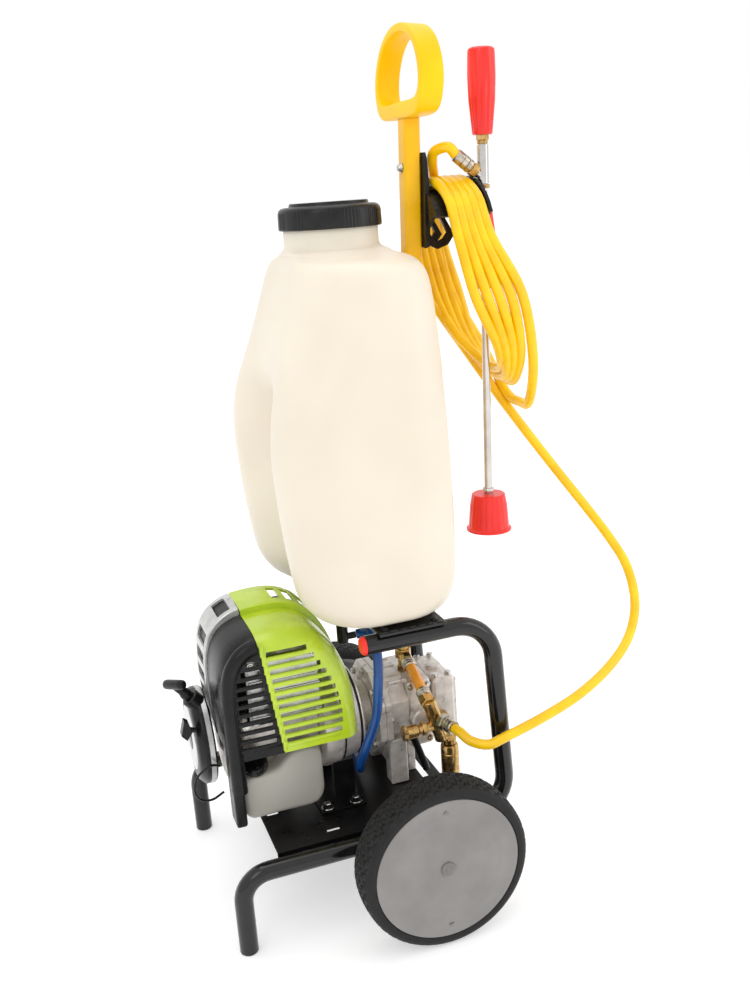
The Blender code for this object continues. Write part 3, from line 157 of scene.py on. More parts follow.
def hidden(bm):
    """A cutter: a plain object that is taken away from another and then deleted."""
    mesh = bpy.data.meshes.new("cutter")
    bmesh.ops.remove_doubles(bm, verts=bm.verts, dist=1e-7)
    bmesh.ops.recalc_face_normals(bm, faces=bm.faces)
    bm.to_mesh(mesh)
    bm.free()
    obj = bpy.data.objects.new("cutter", mesh)
    bpy.context.scene.collection.objects.link(obj)
    return obj


def carved(bm, *cutters):
    """The mesh of one solid after others are taken away from it."""
    body = hidden(bm)
    tools = [hidden(c) for c in cutters]
    for tool in tools:
        modifier = body.modifiers.new("cut", "BOOLEAN")
        modifier.operation = "DIFFERENCE"
        modifier.solver = "EXACT"
        modifier.object = tool
    bpy.context.view_layer.update()
    mesh = bpy.data.meshes.new_from_object(body.evaluated_get(bpy.context.evaluated_depsgraph_get()))
    for obj in [body] + tools:
        bpy.data.objects.remove(obj, do_unlink=True)
    return mesh


def swept(bm, path, section, first, closed=False):
    """Carry a flat section (side, outwards) along a path without twisting it."""
    u = Vector(first)
    rings = []
    last = len(path) - 1
    for i, p in enumerate(path):
        ahead = path[(i + 1) % len(path)] if closed or i < last else path[last]
        behind = path[i - 1] if closed or i else path[0]
        tangent = (ahead - behind).normalized()
        u = (u - tangent * u.dot(tangent)).normalized()
        v = tangent.cross(u)
        shape = section(p) if callable(section) else section
        rings.append([p + u * a + v * b for a, b in shape])
    skin(bm, rings, closed_along=closed)


def rounded_path(corners, radii, step=10):
    """A polyline with arcs of the given radii at its inner corners."""
    pts = [Vector(p) for p in corners]
    out = [pts[0]]
    for prev, here, after, radius in zip(pts, pts[1:], pts[2:], radii):
        a, b = (prev - here).normalized(), (after - here).normalized()
        half = a.angle(b) / 2
        centre = here + (a + b).normalized() * (radius / math.sin(half))
        first = here + a * (radius / math.tan(half)) - centre
        last = here + b * (radius / math.tan(half)) - centre
        turn = first.angle(last)
        for k in range(step + 1):
            w = k / step
            out.append(centre + (first * math.sin((1 - w) * turn)
                                 + last * math.sin(w * turn)) / math.sin(turn))
    out.append(pts[-1])
    return out


def mast_point(z, x=0.0, y=0.0):
    """A point beside the leaning mast's centre line at height z."""
    return Vector((MAST_REF.x + math.tan(MAST_LEAN) * (z - MAST_REF.z) + x, y, z))


def spline(points, per_span=6, closed=False):
    """Catmull-Rom curve through the points."""
    pts = [Vector(p) for p in points]
    n = len(pts)
    out = []
    for i in range(n if closed else n - 1):
        if closed:
            p0, p1, p2, p3 = pts[i - 1], pts[i], pts[(i + 1) % n], pts[(i + 2) % n]
        else:
            p1, p2 = pts[i], pts[i + 1]
            p0 = pts[i - 1] if i else p1 * 2 - p2
            p3 = pts[i + 2] if i + 2 < n else p2 * 2 - p1
        for k in range(per_span):
            t = k / per_span
            out.append(0.5 * (2 * p1 + (p2 - p0) * t + (2 * p0 - 5 * p1 + 4 * p2 - p3) * t * t
                              + (3 * p1 - p0 - 3 * p2 + p3) * t ** 3))
    if not closed:
        out.append(pts[-1])
    return out


def tube(name, points, diameter, material, body="cart"):
    """A smooth round tube along points, as one open curve."""
    curve = bpy.data.curves.new(name, "CURVE")
    curve.dimensions = "3D"
    curve.bevel_depth = diameter / 2
    curve.bevel_resolution = 6
    curve.use_fill_caps = True
    line = curve.splines.new("POLY")
    line.points.add(len(points) - 1)
    for point, place in zip(line.points, points):
        point.co = (*(place + SHIFT), 1)
    line.use_smooth = True
    curve.materials.append(material)
    obj = bpy.data.objects.new(name, curve)
    bpy.context.scene.collection.objects.link(obj)
    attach(obj, body)
    return obj


# ---- materials ----
def shader(name, colour, roughness, metallic=0.0, coat=0.0, specular=0.5):
    """A Principled material; returns the material, its node tree and its shader node."""
    material = bpy.data.materials.new(name)
    material.use_nodes = True
    tree = material.node_tree
    bsdf = tree.nodes["Principled BSDF"]
    bsdf.inputs["Base Color"].default_value = (*colour, 1)
    bsdf.inputs["Roughness"].default_value = roughness
    bsdf.inputs["Metallic"].default_value = metallic
    bsdf.inputs["Coat Weight"].default_value = coat
    bsdf.inputs["Coat Roughness"].default_value = 0.08
    bsdf.inputs["Specular IOR Level"].default_value = specular
    return material, tree, bsdf


def noise(tree, scale, detail=3.0, stretch=(1, 1, 1)):
    """A noise factor in object space, optionally stretched along an axis."""
    coords = tree.nodes.new("ShaderNodeTexCoord")
    mapping = tree.nodes.new("ShaderNodeMapping")
    mapping.inputs["Scale"].default_value = stretch
    texture = tree.nodes.new("ShaderNodeTexNoise")
    texture.inputs["Scale"].default_value = scale
    texture.inputs["Detail"].default_value = detail
    tree.links.new(coords.outputs["Object"], mapping.inputs["Vector"])
    tree.links.new(mapping.outputs["Vector"], texture.inputs["Vector"])
    return texture.outputs["Fac"]


def ramp(tree, factor, low, high, start=0.35, end=0.65):
    """Mix two colours by a factor."""
    node = tree.nodes.new("ShaderNodeValToRGB")
    node.color_ramp.elements[0].position = start
    node.color_ramp.elements[1].position = end
    node.color_ramp.elements[0].color = (*low, 1)
    node.color_ramp.elements[1].color = (*high, 1)
    tree.links.new(factor, node.inputs["Fac"])
    return node.outputs["Color"]


def bump(tree, bsdf, factor, strength, distance, edge=0.0):
    """Fine relief; edge is how far sharp edges are shaded as if they were rounded."""
    node = tree.nodes.new("ShaderNodeBump")
    if edge:
        bevel = tree.nodes.new("ShaderNodeBevel")
        bevel.samples = 4
        bevel.inputs["Radius"].default_value = edge
        tree.links.new(bevel.outputs["Normal"], node.inputs["Normal"])
    node.inputs["Strength"].default_value = strength
    node.inputs["Distance"].default_value = distance
    tree.links.new(factor, node.inputs["Height"])
    tree.links.new(node.outputs["Normal"], bsdf.inputs["Normal"])


def mottled(name, dark, light, roughness, metallic=0.0, coat=0.0, scale=60.0, grain=900.0, depth=0.0003,
            strength=0.25, stretch=(1, 1, 1), rough_spread=0.08, edge=0.0,
            specular=0.5):
    """A surface whose colour and gloss vary softly, with a fine grain in its relief."""
    material, tree, bsdf = shader(name, light, roughness, metallic, coat, specular)
    patches = noise(tree, scale, 4.0, stretch)
    tree.links.new(ramp(tree, patches, dark, light), bsdf.inputs["Base Color"])
    spread = tree.nodes.new("ShaderNodeMapRange")
    spread.inputs["To Min"].default_value = roughness - rough_spread
    spread.inputs["To Max"].default_value = roughness + rough_spread
    tree.links.new(patches, spread.inputs["Value"])
    tree.links.new(spread.outputs["Result"], bsdf.inputs["Roughness"])
    bump(tree, bsdf, noise(tree, grain, 2.0, stretch), strength, depth, edge)
    return material


M = {
    "frame": mottled("frame_enamel", (0.005, 0.005, 0.005), (0.009, 0.008, 0.008), 0.16, coat=0.3,
                     grain=260.0,
                     depth=0.0004, strength=0.10, rough_spread=0.04, edge=0.001, specular=0.35),
    "deck": mottled("deck_enamel", (0.004, 0.004, 0.004), (0.008, 0.007, 0.007), 0.30, grain=500.0,
                    strength=0.2,
                    edge=0.0008, specular=0.25),
    "zinc": mottled("zinc_plate", (0.42, 0.40, 0.36), (0.62, 0.60, 0.56), 0.30, 1.0, scale=120.0),
    "chrome": mottled("polished_chrome", (0.52, 0.50, 0.48), (0.70, 0.68, 0.66), 0.14, 1.0, scale=30.0,
                      strength=0.05, rough_spread=0.04),
    "alloy": mottled("cast_alloy", (0.62, 0.57, 0.53), (0.84, 0.79, 0.74), 0.30, 0.45, scale=80.0,
                     grain=1400.0,
                     depth=0.0005, strength=0.35, edge=0.0012),
    "alloy_dark": mottled("dark_casting", (0.10, 0.10, 0.10), (0.20, 0.20, 0.20), 0.48, 0.7, scale=80.0,
                          grain=1400.0, depth=0.0005, strength=0.4),
    "muffler": mottled("heat_shield", (0.45, 0.44, 0.42), (0.68, 0.67, 0.65), 0.28, 1.0, scale=50.0),
    "shroud": mottled("shroud_paint", (0.46, 0.46, 0.45), (0.62, 0.62, 0.61), 0.30, 0.55, coat=0.3,
                      strength=0.15),
    "brass": mottled("brass", (0.42, 0.25, 0.08), (0.66, 0.44, 0.17), 0.26, 1.0, scale=140.0, strength=0.2),
    "black": mottled("black_moulding", (0.005, 0.005, 0.005), (0.010, 0.010, 0.010), 0.28, grain=1500.0,
                     depth=0.0002, strength=0.3, edge=0.0008, specular=0.25),
    "lid": mottled("lid_moulding", (0.006, 0.006, 0.006), (0.012, 0.012, 0.012), 0.32, grain=1500.0,
                   depth=0.0002, strength=0.3, specular=0.3),
    "foot": mottled("foot_rubber", (0.008, 0.008, 0.008), (0.014, 0.014, 0.014), 0.60, specular=0.2),
    "tyre": mottled("tyre_rubber", (0.006, 0.005, 0.005), (0.012, 0.011, 0.011), 0.55, grain=1100.0,
                    depth=0.0004, strength=0.5, specular=0.3),
    "disc_dark": mottled("wheel_disc_shade", (0.16, 0.15, 0.145), (0.20, 0.19, 0.18), 0.35, scale=18.0,
                         grain=700.0),
    "disc": mottled("wheel_disc", (0.195, 0.186, 0.180), (0.240, 0.230, 0.222), 0.20, coat=0.2, scale=18.0,
                    grain=700.0, depth=0.0002, strength=0.12, rough_spread=0.05),
    "red": mottled("red_moulding", (0.80, 0.012, 0.008), (0.90, 0.020, 0.012), 0.30, coat=0.1, scale=25.0,
                   strength=0.12),
    "yellow": mottled("yellow_enamel", (0.86, 0.46, 0.0), (0.94, 0.52, 0.001), 0.30, coat=0.1, scale=20.0,
                      strength=0.1, edge=0.001, specular=0.3),
    "handle": mottled("yellow_moulding", (0.92, 0.53, 0.0), (1.0, 0.60, 0.001), 0.36, scale=20.0,
                      strength=0.15,
                      specular=0.25),
    "green": mottled("green_moulding", (0.42, 0.58, 0.018), (0.50, 0.66, 0.028), 0.26, coat=0.4, scale=25.0,
                     strength=0.1),
    "hose": mottled("yellow_hose", (0.90, 0.52, 0.001), (1.0, 0.62, 0.002), 0.24, coat=0.1, scale=40.0,
                    strength=0.15, specular=0.4),
    "hose_orange": mottled("orange_hose", (0.95, 0.32, 0.02), (1.0, 0.42, 0.05), 0.26, coat=0.3,
                           scale=60.0),
    "blue": mottled("blue_hose", (0.002, 0.050, 0.22), (0.004, 0.075, 0.30), 0.30, coat=0.1, scale=60.0),
    "steel": mottled("crimped_steel", (0.40, 0.34, 0.27), (0.66, 0.60, 0.52), 0.28, 1.0, scale=150.0),
}


def tank_plastic(name, dark, light, scatter, radius):
    """Milky moulded plastic that lets some light through."""
    material, tree, bsdf = shader(name, light, 0.38)
    patches = noise(tree, 7.0, 2.0)
    tree.links.new(ramp(tree, patches, dark, light, 0.3, 0.7), bsdf.inputs["Base Color"])
    bsdf.inputs["Subsurface Weight"].default_value = scatter
    bsdf.inputs["Subsurface Radius"].default_value = (1.0, 0.8, 0.6)
    bsdf.inputs["Subsurface Scale"].default_value = radius
    bump(tree, bsdf, noise(tree, 220.0, 2.0), 0.08, 0.0004)
    return material


M["tank"] = tank_plastic("tank_plastic", (0.74, 0.66, 0.54), (0.80, 0.73, 0.61), 0.30, 0.012)
M["fuel"] = tank_plastic("fuel_tank_plastic", (0.34, 0.33, 0.29), (0.47, 0.45, 0.40), 0.3, 0.006)

NODE_MATERIALS = {
    "frame": ["side_frame_near", "side_frame_far", "tank_cradle"],
    "deck": ["deck_plate", "engine_bracket", "stop_wire"],
    "foot": ["foot_plug_near", "foot_plug_far"],
    "zinc": ["axle", "axle_spacer_near", "axle_spacer_far", "handle_bolt"],
    "tyre": ["tyre_near", "tyre_far"],
    "disc": ["wheel_near", "wheel_far", "hub_cap_near", "hub_cap_far"],
    "red": ["rail_plug_near", "rail_plug_far", "twist_grip", "fore_grip", "nozzle_cup"],
    "tank": ["tank"],
    "lid": ["tank_lid"],
    "black": ["strainer_basket", "tank_outlet", "hose_hanger", "recoil_grip", "choke_lever", "fuel_cap",
              "spark_plug", "air_filter", "cover_front", "recoil_housing"],
    "yellow": ["mast"],
    "handle": ["d_handle"],
    "green": ["cover_rear"],
    "shroud": ["top_shroud"],
    "muffler": ["muffler"],
    "alloy": ["crankcase", "flywheel", "clutch_housing", "gearbox", "pump_body", "pump_head"],
    "alloy_dark": ["cylinder"],
    "fuel": ["fuel_tank"],
    "brass": ["bypass_elbow", "manifold", "relief_knob", "strainer_bowl"],
    "chrome": ["gun_lance"],
    "steel": ["outlet_fitting"],
    "hose_orange": ["bypass_hose"],
    "hose": ["hose_run", "hose_coil"],
    "blue": ["intake_hose"],
}
for key, nodes in NODE_MATERIALS.items():
    for node in nodes:
        for slot in bpy.data.objects[node].material_slots:
            slot.material = M[key]


# ---- hose: from the pump round the hanger to the gun, one length ----
RUN = [
    (0.0590, -0.1200, 0.2090), (0.0617, -0.1295, 0.2086), (0.0690, -0.1440, 0.2020),
    (0.0860, -0.1560, 0.1990),
    (0.1060, -0.1590, 0.2050), (0.1560, -0.1520, 0.2130), (0.2170, -0.1400, 0.2260),
    (0.2720, -0.1220, 0.2450),
    (0.3120, -0.1020, 0.2690), (0.3350, -0.0800, 0.3020), (0.3380, -0.0570, 0.3430),
    (0.3230, -0.0400, 0.3800),
    (0.2965, -0.0250, 0.4235), (0.2636, -0.0100, 0.4735), (0.2300, 0.0100, 0.5280),
    (0.2040, 0.0350, 0.5760),
    (0.1768, 0.0510, 0.6236), (0.1450, 0.0620, 0.6765),
]
# lowest point of each turn: X and height
TURN_BOTTOMS = [(0.1840, 0.6140), (0.1900, 0.6040), (0.1960, 0.6010), (0.2020, 0.5970), (0.2200, 0.5660)]


def hose_route():
    points = [Vector(p) for p in RUN]
    for i, (low_x, low_z) in enumerate(TURN_BOTTOMS):
        top = 0.1135 + 0.0088 * i
        far = 0.1290 + 0.0105 * i
        near = 0.1340 + 0.0145 * i
        points += [Vector(p) for p in (
            (far, 0.0660, 0.7050), (top + 0.003, 0.0650, 0.7720), (top, 0.0455, 0.8175), (top, 0.0, 0.8362),
            (top + 0.001, -0.0455, 0.8175), (top + 0.004 + 0.001 * i, -0.0645, 0.7720),
            (near, -0.0670, 0.7060), ((near + low_x) / 2 + 0.004, -0.0560, (0.706 + low_z) / 2 - 0.008),
            (low_x - 0.002, -0.0280, low_z + 0.006), (low_x, 0.0, low_z),
            (low_x - 0.006, 0.0270, low_z + 0.010), ((far + low_x) / 2, 0.0520, (0.70 + low_z) / 2))]
    way = (GUN_INLET - GUN_HIP).normalized()
    points += [Vector(p) for p in (
        (0.1620, 0.0660, 0.7050), (0.1480, 0.0655, 0.7720), (0.1370, 0.0470, 0.8180),
        (0.1270, 0.0220, 0.8420),
        (0.1190, 0.0060, 0.8560), (0.1180, -0.0040, 0.8680))]
    points += [GUN_INLET + way * 0.0120 + Vector((0, 0, 0.001)), GUN_INLET + way * 0.0004]
    return spline(points, 5)


route = hose_route()
hose = tube("spray_hose", route, HOSE_DIAMETER, M["hose"])
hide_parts("hose_run", "hose_coil")

INTAKE = [
    (-0.0283, -0.0363, 0.3172), (-0.0220, -0.0390, 0.3184), (-0.0170, -0.0520, 0.3225),
    (-0.0180, -0.0730, 0.3180),
    (-0.0190, -0.0840, 0.3000), (-0.0220, -0.0860, 0.2650), (-0.0260, -0.0820, 0.2250),
    (-0.0400, -0.0720, 0.1800),
    (-0.0440, -0.0600, 0.1560), (-0.0380, -0.0400, 0.1390), (-0.0300, -0.0100, 0.1320),
    (-0.0260, 0.0250, 0.1310),
    (-0.0200, 0.0600, 0.1350), (0.0100, 0.0760, 0.1500), (0.0400, 0.0720, 0.1700), (0.0460, 0.0600, 0.1800),
    (0.0460, 0.0446, 0.1800),
]
intake_route = spline(INTAKE, 6)
intake = tube("intake_tube", intake_route, 0.0116, M["blue"])
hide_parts("intake_hose")


WIRE = [
    (-0.2150, -0.062, 0.2000), (-0.2260, -0.072, 0.2080), (-0.2420, -0.074, 0.2000),
    (-0.2480, -0.072, 0.1820),
    (-0.2420, -0.068, 0.1660), (-0.2280, -0.064, 0.1600), (-0.2130, -0.060, 0.1640),
]
wire_route = spline(WIRE, 8)
wire = tube("stop_lead", wire_route, 0.0028, M["black"])
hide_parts("stop_wire")

# ---- tank, lid and strainer ----
# height, front X, back X, half width, back and front corner radius, front recess depth, back hollow depth
TANK_RINGS = [
    (0.0000, -0.062, 0.036, 0.118, 0.045, 0.045, 0.008, 0.004),
    (0.0040, -0.078, 0.053, 0.136, 0.052, 0.052, 0.018, 0.010),
    (0.0150, -0.094, 0.067, 0.149, 0.060, 0.060, 0.036, 0.018),
    (0.0400, -0.109, 0.075, 0.155, 0.062, 0.062, 0.042, 0.019),
    (0.0850, -0.1165, 0.077, 0.156, 0.062, 0.062, 0.044, 0.018),
    (0.1400, -0.1215, 0.077, 0.156, 0.062, 0.062, 0.045, 0.014),
    (0.1950, -0.1240, 0.076, 0.155, 0.062, 0.062, 0.045, 0.010),
    (0.2350, -0.1205, 0.0745, 0.1545, 0.062, 0.064, 0.038, 0.007),
    (0.2620, -0.1145, 0.073, 0.1535, 0.062, 0.070, 0.018, 0.005),
    (0.2850, -0.1070, 0.072, 0.1525, 0.060, 0.078, 0.004, 0.003),
    (0.3200, -0.0960, 0.0695, 0.1490, 0.056, 0.088, 0.0, 0.0),
    (0.3550, -0.0855, 0.0665, 0.1430, 0.050, 0.092, 0.0, 0.0),
    (0.3800, -0.0775, 0.0635, 0.1350, 0.046, 0.086, 0.0, 0.0),
    (0.3930, -0.0725, 0.0590, 0.1240, 0.044, 0.078, 0.0, 0.0),
    (0.4000, -0.0690, 0.0540, 0.1070, 0.044, 0.068, 0.0, 0.0),
    (0.4045, -0.0662, 0.0470, 0.0800, 0.046, 0.058, 0.0, 0.0),
]
NECK_RADIUS = 0.0535
NECK_TOP_Z = 0.8060
LID_Z = 0.7935
LID_RADIUS = 0.0582
RING_POINTS = 160


def between(rows, per_span):
    """Rows of numbers with more rows between them on a Catmull-Rom curve."""
    out = []
    for i in range(len(rows) - 1):
        p0, p1, p2 = rows[max(i - 1, 0)], rows[i], rows[i + 1]
        p3 = rows[min(i + 2, len(rows) - 1)]
        for k in range(per_span):
            t = k / per_span
            out.append([0.5 * (2 * b + (c - a) * t + (2 * a - 5 * b + 4 * c - d) * t * t
                               + (3 * b - a - 3 * c + d) * t ** 3) for a, b, c, d in zip(p0, p1, p2, p3)])
    out.append(list(rows[-1]))
    return out


def dip(y, reach):
    """A smooth hollow across Y: 1 in the middle, 0 at its edge."""
    return 0.5 + 0.5 * math.cos(math.pi * min(1.0, abs(y) / reach))


def tank_plan(z, front, back, half, back_corner, front_corner, recess, hollow):
    """One level of the tank: a round-cornered plan with a front recess and a hollow back."""
    rear = min(back_corner, half - 0.002, (back - front) / 2 - 0.002)
    fore = min(front_corner, half - 0.002, back - front - rear - 0.002)
    corners = ((back - rear, half - rear, rear, 0), (front + fore, half - fore, fore, 90),
               (front + fore, fore - half, fore, 180), (back - rear, rear - half, rear, 270))
    pts = []
    for cx, cy, corner, start in corners:
        for k in range(24):
            t = math.radians(start + 90 * k / 23)
            pts.append(Vector((cx + corner * math.cos(t), cy + corner * math.sin(t), z)))
        if start == 90:
            for k in range(1, 48):
                y = (half - fore) * (1 - k / 24)
                pts.append(Vector((front + max(recess, 0.0) * dip(y, 0.085) ** 0.75, y, z)))
    for k in range(1, 36):
        y = (rear - half) * (1 - k / 18)
        pts.append(Vector((back - max(hollow, 0.0) * dip(y, 0.085), y, z)))
    return pts


def even_ring(points, count):
    """Spread a closed ring's points evenly, starting on the back's middle line."""
    start = min(range(len(points)), key=lambda i: abs(points[i].y) - points[i].x)
    ring = points[start:] + points[:start]
    ring.append(ring[0])
    lengths = [0.0]
    for a, b in zip(ring, ring[1:]):
        lengths.append(lengths[-1] + (b - a).length)
    out = []
    j = 0
    for k in range(count):
        want = lengths[-1] * k / count
        while lengths[j + 1] < want:
            j += 1
        out.append(ring[j].lerp(ring[j + 1], (want - lengths[j]) / (lengths[j + 1] - lengths[j])))
    return out


def build_tank():
    rings = [even_ring(tank_plan(TANK_BOTTOM_Z + dz, *plan), RING_POINTS)
             for dz, *plan in between(TANK_RINGS, 5)]
    turns = [2 * math.pi * k / RING_POINTS for k in range(RING_POINTS)]
    root = TANK_BOTTOM_Z + TANK_RINGS[-1][0] + 0.005
    levels = [(root, 0.004), (root + 0.003, 0.001), (root + 0.007, 0.0), (NECK_TOP_Z - 0.001, 0.0),
              (NECK_TOP_Z, -0.001), (NECK_TOP_Z, -0.004), (NECK_TOP_Z - 0.03, -0.004)]
    last = rings[-1]
    for i, (z, wider) in enumerate(levels):
        radius = NECK_RADIUS + wider
        ring = [Vector((LID_X + radius * math.cos(t), radius * math.sin(t), z)) for t in turns]
        if i == 0:
            rings += [[a.lerp(b, w) + Vector((0, 0, 0.0012 * math.sin(math.pi * w)))
                       for a, b in zip(last, ring)] for w in (0.25, 0.5, 0.75)]
        rings.append(ring)
    bm = bmesh.new()
    skin(bm, rings)
    piece("tank_skin", bm, "tank", smooth=50, replaces=("tank",))

    def fluted(along, angle):
        """Shallow groups of upright flutes round the lid."""
        group = (math.degrees(angle) / 30.0) % 1.0
        rib = 0.5 + 0.5 * math.cos(angle * 84)
        return 1.0 - (0.016 * rib if 0.001 < along < 0.020 and group < 0.55 else 0.0)

    bm = bmesh.new()
    lathe(bm, [(0.0150, 0.0545), (0.0, 0.0545), (0.0, LID_RADIUS - 0.0010), (0.0008, LID_RADIUS - 0.0002),
               (0.0030, LID_RADIUS), (0.0175, LID_RADIUS - 0.0004), (0.0200, LID_RADIUS - 0.0010),
               (0.0222, LID_RADIUS - 0.0022), (0.0238, LID_RADIUS - 0.0046), (0.0246, LID_RADIUS - 0.0080),
               (0.0248, 0.0452), (0.0254, 0.0446), (0.0280, 0.0440), (0.0285, 0.0428), (0.0285, 0.0020)],
          (LID_X, 0, LID_Z), (0, 0, 1), 336, fluted)
    piece("lid_skin", bm, "lid", "lid", smooth=30, replaces=("tank_lid",))


# ---- frame ----
def build_frame():
    corners = [(-0.2167, -0.1364, 0.0016), (-0.2167, -0.1364, 0.0975), (0.117, -0.1364, 0.0975),
               (0.1031, -0.1364, 0.3465), (-0.050, -0.1364, 0.3465)]
    path = rounded_path(corners, [0.032, 0.045, 0.048])
    for side, flip in (("near", 1), ("far", -1)):
        points = [Vector((p.x, p.y * flip, p.z)) for p in path]
        obj = tube(f"frame_tube_{side}", points, 0.022, M["frame"])
        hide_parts(f"side_frame_{side}")
    bm = bmesh.new()
    for y in (-0.1364, 0.1364):
        bolt(bm, (-0.026, y, 0.3612), (0, 0, 1), 0.0030, 0.0022)
        bolt(bm, (0.034, y, 0.3612), (0, 0, 1), 0.0030, 0.0022)
    for k in range(7):
        y = -0.1475 + 0.0005 * (k % 2)
        block(bm, (-0.034 + 0.0112 * k, y, 0.3590), (-0.026 + 0.0112 * k, y + 0.002, 0.3622), 0.0007)
    piece("cradle_bolts", bm, "frame")

    bm = bmesh.new()
    for y in (-0.064, 0.064):
        bolt(bm, (-0.090, y, 0.1115), (0, 0, 1), 0.0055, 0.0062)
        bolt(bm, (-0.054, y, 0.1115), (0, 0, 1), 0.0055, 0.0062)
    piece("bracket_bolts", bm, "chrome")


# ---- handle ----
def build_handle():
    near_half = [(0, -0.0400, 0.9145), (0, -0.0570, 0.9200), (0, -0.0655, 0.9370), (0, -0.0625, 0.9590),
                 (0, -0.0490, 0.9800), (0, -0.0270, 0.9940)]
    far_half = [(x, -y, z) for x, y, z in near_half]
    loop = spline([(0, 0, 0.9145)] + far_half + [(0, 0, 0.9985)] + near_half[::-1], 10, closed=True)

    def band(p):
        """A flat band with rounded edges, thick along the bottom bar."""
        level = p.z
        swell = 1.0 + 0.9 * min(1.0, max(0.0, (0.930 - level) / 0.0155))
        out = []
        for cx, cy, start in ((0.0115, 0.0022, 0), (-0.0115, 0.0022, 90), (-0.0115, -0.0022, 180),
                              (0.0115, -0.0022, 270)):
            for k in range(5):
                t = math.radians(start + 90 * k / 4)
                out.append((cx + 0.0025 * math.cos(t), (cy + 0.0023 * math.sin(t)) * swell))
        return out

    path = [mast_point(p.z, 0, p.y) for p in loop]
    bm = bmesh.new()
    swept(bm, path, band, (1, 0, 0), closed=True)
    flare = []
    for z, h in ((0.9053, 0.0102), (0.9080, 0.0106), (0.9105, 0.0120), (0.9125, 0.0135)):
        flare.append([mast_point(z, sx * h, sy * h) for sx, sy in
                      ((-1, -0.8), (-0.8, -1), (0.8, -1), (1, -0.8), (1, 0.8), (0.8, 1), (-0.8, 1),
                       (-1, 0.8))])
    skin(bm, flare)
    piece("pull_handle", bm, "handle", smooth=45, replaces=("d_handle",))


# ---- wheels ----
def treads(along, angle):
    """Crossing grooves on the running face of the tyre."""
    if not 0.0030 < along < 0.0420:
        return 1.0
    across = (along - 0.0225) / 0.0195
    turn = angle / (2 * math.pi) * 40
    deep = 0.0
    for slope in (1.9, -1.9):
        f = (turn + slope * across) % 1.0
        deep = max(deep, 1.0 - min(f, 1.0 - f) / 0.13)
    fade = 1.0 if abs(across) < 0.86 else (1.0 - abs(across)) / 0.14
    return 1.0 - 0.019 * min(1.0, max(0.0, deep) * 2.0) * max(0.0, fade)


def build_wheels():
    for side, flip in (("near", -1), ("far", 1)):
        body = f"wheel_body_{side}"
        centre, inward = (0, flip * 0.226, AXLE_Z), (0, -flip, 0)
        rim = 0.0860
        edge = spline([(0.0, 0.0885, 0), (0.0004, 0.0925, 0), (0.0030, 0.0968, 0), (0.0085, 0.0990, 0),
                       (0.0225, 0.1000, 0), (0.0365, 0.0990, 0), (0.0420, 0.0968, 0), (0.0446, 0.0925, 0),
                       (0.0450, 0.0885, 0)], 5)
        profile = [(0.0012, rim), (0.0, rim + 0.0010)] + [(p.x, p.y) for p in edge]
        profile += [(0.0450, rim + 0.0010), (0.0440, rim)]
        bm = bmesh.new()
        lathe(bm, profile, centre, inward, 720, treads, ring=True)
        piece(f"tread_{side}", bm, "tyre", body, smooth=28, replaces=(f"tyre_{side}",))

        bore = 0.0062
        bm = bmesh.new()
        lathe(bm, [(0.0026, bore), (0.0026, 0.0096), (0.0030, 0.0100), (0.0030, 0.0165), (0.0027, 0.0300),
                   (0.0024, 0.0440), (0.0021, 0.0520), (0.0016, 0.0540), (0.0018, 0.0560), (0.0016, 0.0640),
                   (0.0011, 0.0655), (0.0013, 0.0680), (0.0012, 0.0790), (0.0006, 0.0815), (0.0004, 0.0845),
                   (0.0008, 0.0854), (0.0022, 0.0857), (0.0435, 0.0857), (0.0435, 0.0810), (0.0062, 0.0780),
                   (0.0062, 0.0165), (0.045, 0.0150), (0.045, bore)], centre, inward, 144, ring=True)
        piece(f"disc_{side}", bm, "disc", body, smooth=30, replaces=(f"wheel_{side}",))
        bm = bmesh.new()
        for up in (1, -1):
            mark = [Vector((-0.0032, 0, 0)), Vector((0.0032, 0, 0)), Vector((0, 0, 0.0042 * up))]
            base = Vector((0, flip * 0.2254, AXLE_Z + 0.0705 * up))
            skin(bm, [[base + m for m in mark], [base + m * 0.8 + Vector((0, flip * 0.0005, 0))
                                                 for m in mark]])
        piece(f"disc_marks_{side}", bm, "disc_dark", body)
        bm = bmesh.new()
        lathe(bm, [(0, 0.0086), (0.0010, 0.0085), (0.0018, 0.0080), (0.0022, 0.0070), (0.0020, 0.0052),
                   (0.0020, 0.0036), (0.0027, 0.0030), (0.0027, 0.0004)],
              (0, flip * 0.2234, AXLE_Z), (0, flip, 0), 48)
        piece(f"cap_{side}", bm, "disc_dark", body, replaces=(f"hub_cap_{side}",))


# ---- spray gun ----
def fluted_grip(count, depth, low, high):
    """Long flutes between two distances along a grip."""
    def ripple(along, angle):
        if not low < along < high:
            return 1.0
        fade = min(1.0, (along - low) / 0.006, (high - along) / 0.006)
        return 1.0 - depth * fade * (0.5 + 0.5 * math.cos(angle * count)) ** 2
    return ripple


